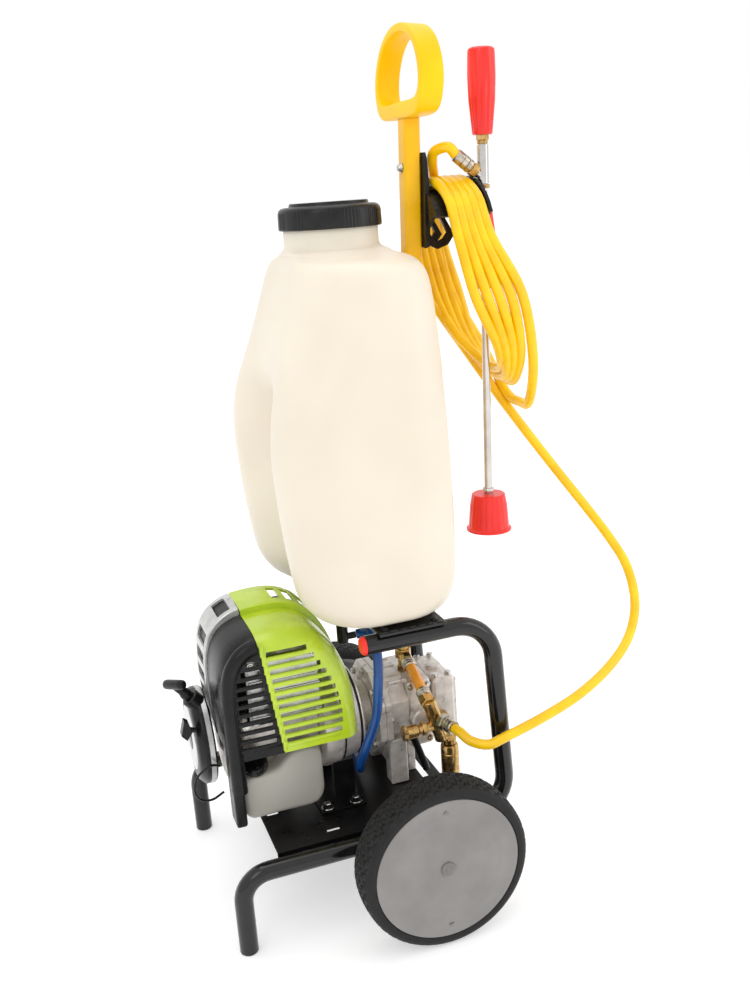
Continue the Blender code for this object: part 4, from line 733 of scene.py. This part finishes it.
def build_gun():
    axis = (GUN_FOOT - GUN_TOP).normalized()

    def along(z):
        return (GUN_TOP.z - z) / -axis.z

    def point(z):
        return GUN_TOP + axis * along(z)

    way = (GUN_INLET - GUN_HIP).normalized()
    bm = bmesh.new()
    rod(bm, point(0.9260), point(0.4420), 0.0048)
    lathe(bm, [(along(0.8725), 0.0048), (along(0.8720), 0.0066), (along(0.8300), 0.0066),
               (along(0.8295), 0.0048)], GUN_TOP, axis, 160,
          fluted_grip(10, 0.16, along(0.8700), along(0.8320)))
    rod(bm, point(0.4680), point(0.4645), 0.0074)
    rod(bm, GUN_HIP, GUN_HIP + way * 0.0200, 0.0050)
    piece("gun_body", bm, "chrome", smooth=40, replaces=("gun_lance",))
    bm = bmesh.new()
    nut(bm, point(0.8835), point(0.8770), 0.0125)
    rod(bm, point(0.8770), point(0.8730), 0.0062)
    nut(bm, point(0.8292), point(0.8245), 0.0130)
    nut(bm, GUN_HIP + way * 0.0100, GUN_HIP + way * 0.0185, 0.0140)
    rod(bm, GUN_HIP + way * 0.0185, GUN_HIP + way * 0.0205, 0.0064)
    piece("gun_nuts", bm, "brass")
    bm = bmesh.new()
    start = GUN_HIP + way * 0.0200
    long = (GUN_INLET - start).length
    lathe(bm, [(0, 0.0070), (0.0008, 0.0078), (0.0050, 0.0078), (0.0056, 0.0071), (0.0064, 0.0078),
               (0.0120, 0.0078), (0.0126, 0.0071), (0.0134, 0.0078), (long - 0.001, 0.0077),
               (long, 0.0070)],
          start, way, 48)
    piece("gun_ferrule", bm, "steel")

    bm = bmesh.new()
    lathe(bm, [(0.0, 0.0118), (0.0006, 0.0136), (0.0022, 0.0150), (0.0060, 0.0154), (0.0300, 0.0160),
               (0.0550, 0.0152), (0.0750, 0.0132), (0.0905, 0.0116), (0.0920, 0.0108), (0.0920, 0.0045),
               (0.0435, 0.0045)],
          GUN_TOP, axis, 180, fluted_grip(12, 0.11, 0.0380, 0.0890))
    piece("grip", bm, "red", "gun_grip", replaces=("twist_grip",))
    start = along(0.8050)
    bm = bmesh.new()
    lathe(bm, [(start, 0.0053), (start, 0.0090), (start + 0.0020, 0.0098), (start + 0.018, 0.0118),
               (start + 0.040, 0.0148), (start + 0.070, 0.0158), (start + 0.088, 0.0144),
               (start + 0.093, 0.0126), (start + 0.093, 0.0053)],
          GUN_TOP, axis, 180, fluted_grip(12, 0.10, start + 0.004, start + 0.060), ring=True)
    piece("lower_grip", bm, "red", replaces=("fore_grip",))
    top = along(0.4610)
    bm = bmesh.new()
    lathe(bm, [(top, 0.0053), (top, 0.0195), (top + 0.0008, 0.0206), (top + 0.014, 0.0230),
               (top + 0.0420, 0.0252), (top + 0.0432, 0.0262), (top + 0.0440, 0.0280),
               (top + 0.0465, 0.0280),
               (top + 0.0465, 0.0232), (top + 0.014, 0.0212), (top + 0.0030, 0.0190),
               (top + 0.0030, 0.0053)],
          GUN_TOP, axis, 240, fluted_grip(20, 0.035, top + 0.0015, top + 0.0200), ring=True)
    piece("cup", bm, "red", replaces=("nozzle_cup",))


# ---- engine covers ----
SHAFT_Z = 0.203
COVER_MIDDLE = (-0.130, 0.262)
PARTING_X = -0.1432
PARTING_LEAN = 0.135
COVER_OUTLINE = [
    (-0.2050, 0.2150), (-0.2085, 0.2600), (-0.2085, 0.3000), (-0.2040, 0.3280), (-0.1930, 0.3470),
    (-0.1750, 0.3580), (-0.1500, 0.3625), (-0.1200, 0.3625), (-0.0980, 0.3560), (-0.0800, 0.3420),
    (-0.0640, 0.3180), (-0.0530, 0.2880), (-0.0480, 0.2550), (-0.0470, 0.2150),
]
BAND_OUTLINE = [
    (-0.2060, 0.2150), (-0.2110, 0.2600), (-0.2110, 0.3020), (-0.2065, 0.3325), (-0.1945, 0.3535),
    (-0.1755, 0.3660), (-0.1500, 0.3708), (-0.1200, 0.3706), (-0.0960, 0.3632), (-0.0760, 0.3470),
    (-0.0605, 0.3210), (-0.0505, 0.2890), (-0.0478, 0.2550), (-0.0472, 0.2150),
]
NEAR_Y, BACK_Y, BAND_FAR_Y = -0.094, -0.0125, 0.044
WALL = 0.0028


def fine(outline):
    """A side outline with more points on a smooth curve."""
    return [(p.x, p.y) for p in spline([(a, b, 0) for a, b in outline], 5)]


def dome(outline, levels, drop=0.0):
    """Skin a side outline across Y, grown from its middle at each level."""
    floor = outline[0][1] - drop
    bm = bmesh.new()
    rings = []
    last = len(outline) - 1
    for y, by in levels:
        ring = []
        for i, (x, z) in enumerate(outline):
            dx, dz = x - COVER_MIDDLE[0], z - COVER_MIDDLE[1]
            k = 1 + by / math.hypot(dx, dz)
            low = i in (0, last)
            ring.append(Vector((COVER_MIDDLE[0] + dx * k, y,
                                floor if low else max(COVER_MIDDLE[1] + dz * k, floor))))
        rings.append(ring)
    skin(bm, rings)
    return bm


def boxes(spans):
    bm = bmesh.new()
    for low, high in spans:
        block(bm, low, high, 0.0006, 1)
    return bm


def joined(*meshes):
    bm = bmesh.new()
    for mesh in meshes:
        bm.from_mesh(mesh)
    return bm


def parting(z, gap=0.0):
    """X of the leaning plane where the two cover halves meet."""
    return PARTING_X + gap - PARTING_LEAN * (z - 0.215)


def beyond_parting(gap, forward):
    """Everything on one side of that plane, as a cutter."""
    side = -0.35 if forward else 0.0
    bm = bmesh.new()
    prism(bm, [(parting(0.1, gap), 0.1), (parting(0.5, gap), 0.5), (side, 0.5), (side, 0.1)], -0.2, 0.1,
          "y")
    return bm


def round_bell():
    """Room for the clutch housing, as a cutter."""
    bm = bmesh.new()
    rod(bm, (-0.10, 0, SHAFT_Z), (-0.02, 0, SHAFT_Z), 0.0665, 64)
    return bm


def build_covers():
    outer = [(NEAR_Y, -0.020), (NEAR_Y + 0.0010, -0.0165), (NEAR_Y + 0.0026, -0.0132),
             (NEAR_Y + 0.0050, -0.0098),
             (NEAR_Y + 0.0090, -0.0062), (NEAR_Y + 0.0150, -0.0032), (NEAR_Y + 0.022, -0.0012),
             (NEAR_Y + 0.036, 0.0), (BACK_Y, 0.0)]
    inner = [(y + WALL * 0.9, by - WALL) for y, by in outer[:-1]] + [(BACK_Y + 0.01, -WALL)]
    cover, band = fine(COVER_OUTLINE), fine(BAND_OUTLINE)

    slots = []
    for k in range(10):
        z = 0.2300 + 0.0110 * k
        slots.append(((-0.1905 + max(0, k - 7) * 0.006, -0.11, z),
                      (parting(z, -0.005), -0.066, z + 0.0066)))
    black = carved(dome(cover, outer), dome(cover, inner, 0.03), beyond_parting(0.0, False), boxes(slots))
    bm = joined(black)
    block(bm, (-0.2065, -0.0885, 0.128), (-0.1935, -0.0590, 0.2450), 0.0030, 3)
    arch = [Vector((x, NEAR_Y + 0.0055, z)) for x, z in fine([
        (-0.1985, 0.1750), (-0.1990, 0.2200), (-0.1995, 0.2600), (-0.1990, 0.2980), (-0.1945, 0.3230),
        (-0.1850, 0.3390), (-0.1750, 0.3465), (-0.1640, 0.3505)])]
    swept(bm, arch, [(0.0088 * math.cos(t), 0.0092 * math.sin(t)) for t in
                     [2 * math.pi * k / 20 for k in range(20)]], (0, 1, 0))
    for k in range(9):
        z = 0.2250 + 0.0110 * k
        block(bm, (-0.1930, NEAR_Y - 0.0006, z), (parting(z, -0.001), NEAR_Y + 0.0020, z + 0.0046), 0.0010,
              2)
    piece("front_cover", bm, "black", smooth=38, replaces=("cover_front",))

    ends = (0.0, 0.002, 0.002, 0.001, -0.001, -0.004, -0.008, -0.013, -0.019, -0.026, -0.034)
    slots = []
    for k, end in enumerate(ends):
        z = 0.2265 + 0.0110 * k
        slots.append(((parting(z, 0.006), -0.11, z), (-0.0720 + end, -0.066, z + 0.0066)))
    lower = carved(dome(cover, outer), dome(cover, inner, 0.03), beyond_parting(0.0006, True), boxes(slots),
                   round_bell())
    vents = [((-0.120 + 0.017 * k, -0.002, 0.30), (-0.110 + 0.017 * k, 0.034, 0.40)) for k in range(3)]
    edge = [(BACK_Y - 0.004, -0.0016), (BACK_Y - 0.0028, -0.0003), (BACK_Y - 0.001, 0.0), (BAND_FAR_Y, 0.0)]
    hollow = dome(band, [(BACK_Y - 0.0012, -WALL), (BAND_FAR_Y + 0.02, -WALL)], 0.03)
    upper = carved(dome(band, edge), dome(cover, inner, 0.03), hollow, beyond_parting(0.0006, True),
                   boxes(vents), round_bell())
    bm = joined(lower, upper)
    for mesh in (black, lower, upper):
        bpy.data.meshes.remove(mesh)
    for k in range(12):
        z = 0.2180 + 0.0110 * k
        block(bm, (parting(z, -0.0005), NEAR_Y - 0.0012, z - 0.0005),
              (parting(z, 0.0042), NEAR_Y + 0.0030, z + 0.0115),
              0.0006)
    for k in range(11):
        z = 0.2215 + 0.0110 * k
        block(bm, (parting(z, 0.0010), NEAR_Y - 0.0010, z),
              (-0.0760 + ends[k], NEAR_Y + 0.0020, z + 0.0044),
              0.0010, 2)
    piece("rear_cover", bm, "green", smooth=38, replaces=("cover_rear",))

    windows = [((-0.23, -0.004, 0.2290 + 0.0240 * k), (-0.188, 0.036, 0.2440 + 0.0240 * k))
               for k in range(5)]
    windows += [((-0.188, -0.004, 0.345), (-0.172, 0.036, 0.40))]
    edge = [(BACK_Y + 0.0005, -0.0014), (BACK_Y + 0.0016, -0.0002), (BACK_Y + 0.003, 0.0),
            (BAND_FAR_Y, 0.0)]
    hollow = dome(band, [(BACK_Y + 0.0033, -WALL), (BAND_FAR_Y + 0.02, -WALL)], 0.03)
    top = carved(dome(band, edge), hollow, dome(cover, [(BACK_Y - 0.01, -WALL), (BACK_Y + 0.01, -WALL)],
                                                0.03),
                 beyond_parting(-0.0002, False), boxes(windows))
    piece("shroud", top, "shroud", smooth=38, replaces=("top_shroud",))
    hollow = dome(band, [(BACK_Y + 0.0050, -WALL - 0.0016), (BAND_FAR_Y + 0.02, -WALL - 0.0016)], 0.03)
    liner = carved(dome(band, [(BACK_Y + 0.0040, -WALL - 0.0006), (BAND_FAR_Y - 0.002, -WALL - 0.0006)]),
                   hollow,
                   beyond_parting(-0.0008, False))
    piece("shroud_liner", liner, "black")


# ---- engine ----
def build_engine():
    bm = bmesh.new()
    outline = fine([(-0.1930, 0.1500), (-0.1915, 0.1345), (-0.1860, 0.1275), (-0.1780, 0.1262),
                    (-0.1450, 0.1260), (-0.1100, 0.1262), (-0.0990, 0.1320), (-0.0938, 0.1440),
                    (-0.0935, 0.1650), (-0.0935, 0.1880), (-0.0975, 0.1990), (-0.1060, 0.2035),
                    (-0.1200, 0.2040), (-0.1310, 0.2015), (-0.1410, 0.1930), (-0.1500, 0.1850),
                    (-0.1650, 0.1828), (-0.1850, 0.1815), (-0.1915, 0.1760), (-0.1930, 0.1640)])
    middle = (-0.140, 0.160)
    rings = []
    for y, by in ((-0.0755, -0.0090), (-0.0752, -0.0060), (-0.0744, -0.0038), (-0.0728, -0.0018),
                  (-0.0706, -0.0004), (-0.0680, 0.0), (-0.0560, 0.0), (-0.0510, 0.0), (-0.0502, -0.002)):
        rings.append([Vector((middle[0]
                              + (x - middle[0]) * (1 + by / math.hypot(x - middle[0], z - middle[1])), y,
                              middle[1] + (z - middle[1]) * (1 + by / math.hypot(x - middle[0],
                                                                                 z - middle[1]))))
                      for x, z in outline])
    skin(bm, rings)
    neck = Vector((-0.1700, -0.0560, 0.1760))
    aim = Vector((-0.18, -0.50, 0.85)).normalized()
    rod(bm, neck, neck + aim * 0.026, 0.0108)
    piece("fuel_can", bm, "fuel", smooth=50, replaces=("fuel_tank",))
    bm = bmesh.new()
    lathe(bm, [(0.0, 0.0114), (0.0, 0.0146), (0.0008, 0.0150), (0.0095, 0.0150), (0.0110, 0.0146),
               (0.0124, 0.0134), (0.0124, 0.0100), (0.0112, 0.0096), (0.0112, 0.0010)],
          neck + aim * 0.0165, aim, 160, lambda a, t: 1.0 - (0.03 * (0.5 + 0.5 * math.cos(20 * t)) ** 3
                                                             if 0.0004 < a < 0.0100 else 0.0))
    across = aim.cross(Vector((1, 0, 0.3))).normalized()
    top = neck + aim * (0.0165 + 0.0122)
    skin(bm, [[top + across * a + aim.cross(across) * b + aim * c for a, b in
               ((-0.0105, -0.0016), (0.0105, -0.0016), (0.0105, 0.0016), (-0.0105, 0.0016))]
              for c in (-0.002, 0.0016)])
    piece("filler", bm, "black", "filler_cap", replaces=("fuel_cap",))

    bm = bmesh.new()
    lathe(bm, [(0.0, 0.0575), (0.0020, 0.0620), (0.0050, 0.0634), (0.0215, 0.0634), (0.0232, 0.0622),
               (0.0262, 0.0602), (0.0400, 0.0572), (0.0505, 0.0554), (0.0530, 0.0546), (0.0545, 0.0525),
               (0.0556, 0.0490), (0.0562, 0.0335), (0.0580, 0.0322), (0.0715, 0.0310)],
          (-0.0852, 0, SHAFT_Z), (1, 0, 0), 96)
    piece("clutch_bell", bm, "alloy", replaces=("clutch_housing",))
    bm = bmesh.new()
    for along in (0.0245, 0.0478):
        lathe(bm, [(along, 0.0560), (along, 0.0618 - (along - 0.02) * 0.20),
                   (along + 0.0030, 0.0616 - (along - 0.02)
                                                                              * 0.20), (along + 0.0030,
                                                                                        0.0560)],
              (-0.0852, 0, SHAFT_Z), (1, 0, 0), 96, ring=True)
    piece("clutch_bands", bm, "black")

    bm = bmesh.new()
    lathe(bm, [(0, 0.0565), (0.0015, 0.0582), (0.0095, 0.0590), (0.0122, 0.0590), (0.0136, 0.0582),
               (0.0180, 0.0535), (0.0192, 0.0520), (0.0205, 0.0480), (0.0210, 0.0430), (0.0200, 0.0415),
               (0.0190, 0.0400), (0.0190, 0.0155), (0.0205, 0.0135), (0.0220, 0.0118), (0.0220, 0.0010)],
          (-0.2150, 0, 0.2130), (-1, 0, 0), 96)
    boss = Vector((-0.2250, -0.018, 0.2620))
    pull = Vector((-0.62, 0.0, 0.78)).normalized()
    rod(bm, boss, boss + pull * 0.0150, 0.0110, 48, 0.0015)
    piece("recoil_cover", bm, "black", replaces=("recoil_housing",))
    bm = bmesh.new()
    lathe(bm, [(0.0206, 0.0405), (0.0214, 0.0402), (0.0218, 0.0330), (0.0216, 0.0160), (0.0206, 0.0158)],
          (-0.2150, 0, 0.2130), (-1, 0, 0), 96, ring=True)
    lathe(bm, [(0.0020, 0.0586), (0.0024, 0.0594), (0.0078, 0.0596), (0.0082, 0.0588)],
          (-0.2150, 0, 0.2130), (-1, 0, 0), 96, ring=True)
    piece("recoil_plate", bm, "shroud")
    seat = boss + pull * 0.0155
    mid = seat + pull * 0.0235
    bar = Vector((0.45, -0.85, 0.25))
    bm = bmesh.new()
    lathe(bm, [(0, 0.0056), (0.0006, 0.0066), (0.004, 0.0072), (0.007, 0.0068), (0.011, 0.0054),
               (0.0215, 0.0056)],
          seat, pull, 40)
    lathe(bm, [(-0.0195, 0.0020), (-0.0188, 0.0040), (-0.0165, 0.0056), (-0.0120, 0.0060), (0.0120, 0.0060),
               (0.0165, 0.0056), (0.0188, 0.0040), (0.0195, 0.0020)], mid, bar, 40)
    piece("starter_handle", bm, "black", "starter_grip", replaces=("recoil_grip",))

    bm = bmesh.new()
    for x, y, z in ((-0.1750, -0.0425, 0.1800), (-0.1000, -0.0425, 0.1800), (-0.1750, -0.0425, 0.2320),
                    (-0.1000, -0.0425, 0.2320)):
        bolt(bm, (x, y, z), (0, -1, 0))
    for k in range(5):
        z = 0.2560 + 0.0150 * k
        block(bm, (-0.1740, -0.0802, z), (-0.0900, -0.0780, z + 0.0030), 0.0008)
    for x, z in ((-0.1700, 0.2530), (-0.0940, 0.2530), (-0.1700, 0.3230), (-0.0940, 0.3230)):
        bolt(bm, (x, -0.0790, z), (0, -1, 0), 0.0030, 0.0026)
    piece("engine_bolts", bm, "chrome")


# ---- pump and fittings ----
def build_pump():
    bm = bmesh.new()
    for k in range(8):
        t = math.pi / 4 * k
        y, z = 0.0500 * math.cos(t), 0.2000 + 0.0500 * math.sin(t)
        bolt(bm, (-0.0132, y, z), (-1, 0, 0), 0.0034, 0.0036)
        bolt(bm, (0.0042, y, z), (1, 0, 0), 0.0030, 0.0030)
    for x in (0.069, 0.087):
        for y in (-0.040, 0.020):
            rod(bm, (x, y, 0.2396), (x, y, 0.2446), 0.0042, 32)
            rod(bm, (x, y, 0.2440), (x, y, 0.2450), 0.0026, 6, 0.0002)
    for z in (0.1700, 0.2310):
        for y in (-0.0390, 0.0200):
            bolt(bm, (0.0935, y, z), (1, 0, 0), 0.0034, 0.0034)
    for x in (0.0345, 0.0570):
        for z in (0.1600, 0.2350):
            bolt(bm, (x, -0.0442, z), (0, -1, 0), 0.0030, 0.0030)
    piece("pump_bolts", bm, "chrome")
    bm = bmesh.new()
    for y in (-0.052, -0.030, -0.008, 0.014):
        block(bm, (0.0040, y + 0.006, 0.2440), (0.0290, y + 0.010, 0.2496), 0.0012)
    lathe(bm, [(0.0, 0.0150), (0.0010, 0.0156), (0.0040, 0.0156), (0.0050, 0.0146), (0.0062, 0.0120),
               (0.0062, 0.0010)], (0.0440, -0.0568, 0.1960), (0, -1, 0), 48)
    lathe(bm, [(0.0, 0.0100), (0.0040, 0.0100), (0.0052, 0.0088), (0.0056, 0.0010)],
          (0.0780, -0.0120, 0.2398), (0, 0, 1), 48)
    piece("pump_caps", bm, "alloy")

    bend, end = Vector((0.0410, -0.0060, 0.2660)), Vector((0.0400, -0.0790, 0.2360))
    way = (end - bend).normalized()
    start = bend + way * 0.0160
    bm = bmesh.new()
    nut(bm, (0.0410, -0.0060, 0.2426), (0.0410, -0.0060, 0.2500), 0.0150)
    rod(bm, (0.0410, -0.0060, 0.2490), (0.0410, -0.0060, 0.2610), 0.0070)
    nut(bm, (0.0410, -0.0060, 0.2600), (0.0410, -0.0060, 0.2715), 0.0185)
    rod(bm, (0.0410, -0.0060, 0.2710), (0.0410, -0.0060, 0.2786), 0.0068)
    rod(bm, bend, start, 0.0072)
    nut(bm, start - way * 0.0075, start - way * 0.0005, 0.0150)
    piece("upper_elbow", bm, "brass", smooth=25, replaces=("bypass_elbow",))

    hose = spline([start + way * 0.0004, start + way * 0.018 + Vector((0, 0, 0.001)),
                   end - way * 0.018 + Vector((0, 0, 0.001)), end - way * 0.0004], 8)
    obj = tube("return_hose", hose, 0.0132, M["hose_orange"])
    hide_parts("bypass_hose")
    bm = bmesh.new()
    for seat, aim in ((start + way * 0.0006, way), (end - way * 0.0006, -way)):
        lathe(bm, [(0, 0.0067), (0, 0.0082), (0.0010, 0.0088), (0.0026, 0.0088), (0.0032, 0.0080),
                   (0.0040, 0.0088), (0.0062, 0.0088), (0.0068, 0.0080), (0.0076, 0.0088), (0.0100, 0.0086),
                   (0.0110, 0.0076), (0.0110, 0.0067)], seat, aim, 48, ring=True)
    piece("hose_crimps", bm, "steel")

    aim = (HOSE_START - Vector((0.0520, -0.0960, 0.2100))).normalized()
    seat = HOSE_START - aim * 0.0235
    elbow = end + way * 0.0100
    bm = bmesh.new()
    nut(bm, end, end + way * 0.0120, 0.0170)
    rod(bm, elbow + Vector((0, 0, 0.004)), (0.0560, -0.0860, 0.1800), 0.0086)
    rod(bm, (0.0240, -0.0880, 0.2000), (0.0560, -0.0860, 0.2000), 0.0060)
    nut(bm, (0.0290, -0.0877, 0.2000), (0.0350, -0.0874, 0.2000), 0.0150)
    nut(bm, (0.0700, -0.0600, 0.1890), (0.0700, -0.0500, 0.1890), 0.0180)
    rod(bm, (0.0700, -0.0830, 0.1890), (0.0700, -0.0484, 0.1890), 0.0078)
    rod(bm, (0.0560, -0.0860, 0.1860), (0.0690, -0.0820, 0.1830), 0.0084)
    nut(bm, (0.0670, -0.0820, 0.1860), (0.0670, -0.0820, 0.1762), 0.0185)
    rod(bm, (0.0670, -0.0820, 0.1780), (0.0670, -0.0820, 0.1694), 0.0086)
    rod(bm, (0.0485, -0.0845, 0.2105), seat - aim * 0.0004, 0.0060)
    piece("pump_manifold", bm, "brass", smooth=25, replaces=("manifold",))
    bm = bmesh.new()
    nut(bm, seat, seat + aim * 0.0076, 0.0180)
    lathe(bm, [(0.0070, 0.0062), (0.0078, 0.0084), (0.0108, 0.0086), (0.0114, 0.0078), (0.0122, 0.0088),
               (0.0155, 0.0089), (0.0161, 0.0080), (0.0169, 0.0090), (0.0212, 0.0088), (0.0226, 0.0078)],
          seat, aim, 48)
    piece("outlet_ferrule", bm, "steel", smooth=25, replaces=("outlet_fitting",))

    bm = bmesh.new()
    lathe(bm, [(0.0, 0.0080), (0.0006, 0.0090), (0.0018, 0.0094), (0.0046, 0.0094), (0.0054, 0.0082),
               (0.0060, 0.0084), (0.0185, 0.0084), (0.0200, 0.0072), (0.0212, 0.0040)],
          (0.0040, -0.0890, 0.2000), (1, 0, 0), 200,
          lambda a, t: 1.0 - (0.06 * (0.5 + 0.5 * math.cos(28 * t)) if a < 0.0050 else 0.0)
          - (0.05 * (0.5 + 0.5 * math.cos(a / 0.0016 * 2 * math.pi)) if 0.0058 < a < 0.0186 else 0.0))
    piece("knob", bm, "brass", "pressure_knob", replaces=("relief_knob",))
    bm = bmesh.new()
    lathe(bm, [(0, 0.0080), (0.0006, 0.0100), (0.0030, 0.0110), (0.0110, 0.0112), (0.0118, 0.0106),
               (0.0126, 0.0112), (0.0400, 0.0112), (0.0424, 0.0106), (0.0442, 0.0088), (0.0462, 0.0070),
               (0.0480, 0.0045)], (0.0670, -0.0820, 0.1690), (0, 0, -1), 48)
    piece("sediment_bowl", bm, "brass", replaces=("strainer_bowl",))
    bm = bmesh.new()
    rod(bm, (0.0240, -0.0700, 0.1840), (0.0420, -0.0640, 0.1300), 0.0046)
    rod(bm, (0.0222, -0.0706, 0.1860), (0.0246, -0.0698, 0.1820), 0.0064)
    piece("drain_tube", bm, "black")


build_tank()
build_frame()
build_handle()
build_wheels()
build_gun()
build_covers()
build_engine()
build_pump()


# ---- camera, lights, floor ----
def camera():
    azimuth, pitch, roll = (math.radians(a) for a in (-18.788, 16.138, -3.948))
    ahead = Vector((-math.sin(azimuth) * math.cos(pitch), math.cos(azimuth) * math.cos(pitch),
                    -math.sin(pitch)))
    right = Vector((math.cos(azimuth), math.sin(azimuth), 0))
    up = right.cross(ahead)
    x = right * math.cos(roll) + up * math.sin(roll)
    y = up * math.cos(roll) - right * math.sin(roll)
    data = bpy.data.cameras.new("camera")
    data.sensor_fit = "VERTICAL"
    data.sensor_height = 24
    data.lens = 25.10
    data.clip_start = 0.01
    obj = bpy.data.objects.new("camera", data)
    bpy.context.scene.collection.objects.link(obj)
    obj.matrix_world = Matrix.Translation(Vector((-0.3741, -1.1576, 0.8237)) + SHIFT) @ Matrix((
        (x.x, y.x, -ahead.x, 0), (x.y, y.y, -ahead.y, 0), (x.z, y.z, -ahead.z, 0), (0, 0, 0, 1)))
    bpy.context.scene.camera = obj


def area_light(name, place, aim, size, power, colour=(1, 1, 1)):
    data = bpy.data.lights.new(name, "AREA")
    data.shape = "RECTANGLE"
    data.size, data.size_y = size
    data.energy = power
    data.color = colour
    obj = bpy.data.objects.new(name, data)
    bpy.context.scene.collection.objects.link(obj)
    obj.matrix_world = Matrix.Translation(place) @ (
        (Vector(aim) - Vector(place)).to_track_quat("-Z", "Y").to_matrix().to_4x4())


def studio():
    world = bpy.data.worlds.new("studio")
    world.use_nodes = True
    world.node_tree.nodes["Background"].inputs["Color"].default_value = (1, 1, 1, 1)
    world.node_tree.nodes["Background"].inputs["Strength"].default_value = 1.0
    bpy.context.scene.world = world
    area_light("key", (-1.6, -1.8, 2.4), (0, 0, 0.4), (1.2, 1.6), 10)
    area_light("side", (1.9, -1.2, 1.3), (0, 0, 0.4), (0.8, 1.8), 7)
    area_light("top", (0.0, 0.2, 2.6), (0, 0, 0), (1.6, 1.6), 10)
    bm = bmesh.new()
    bmesh.ops.create_grid(bm, x_segments=1, y_segments=1, size=200)
    mesh = bpy.data.meshes.new("floor")
    bm.to_mesh(mesh)
    bm.free()
    floor = bpy.data.objects.new("floor", mesh)
    bpy.context.scene.collection.objects.link(floor)
    material, _, bsdf = shader("floor_paper", (0.74, 0.74, 0.74), 0.75, specular=0.05)
    bsdf.inputs["Emission Color"].default_value = (1, 1, 1, 1)
    bsdf.inputs["Emission Strength"].default_value = 0.42
    mesh.materials.append(material)
    settings = bpy.context.scene.view_settings
    settings.view_transform = "Standard"
    settings.look = "None"
    settings.exposure = 0.0


camera()
studio()
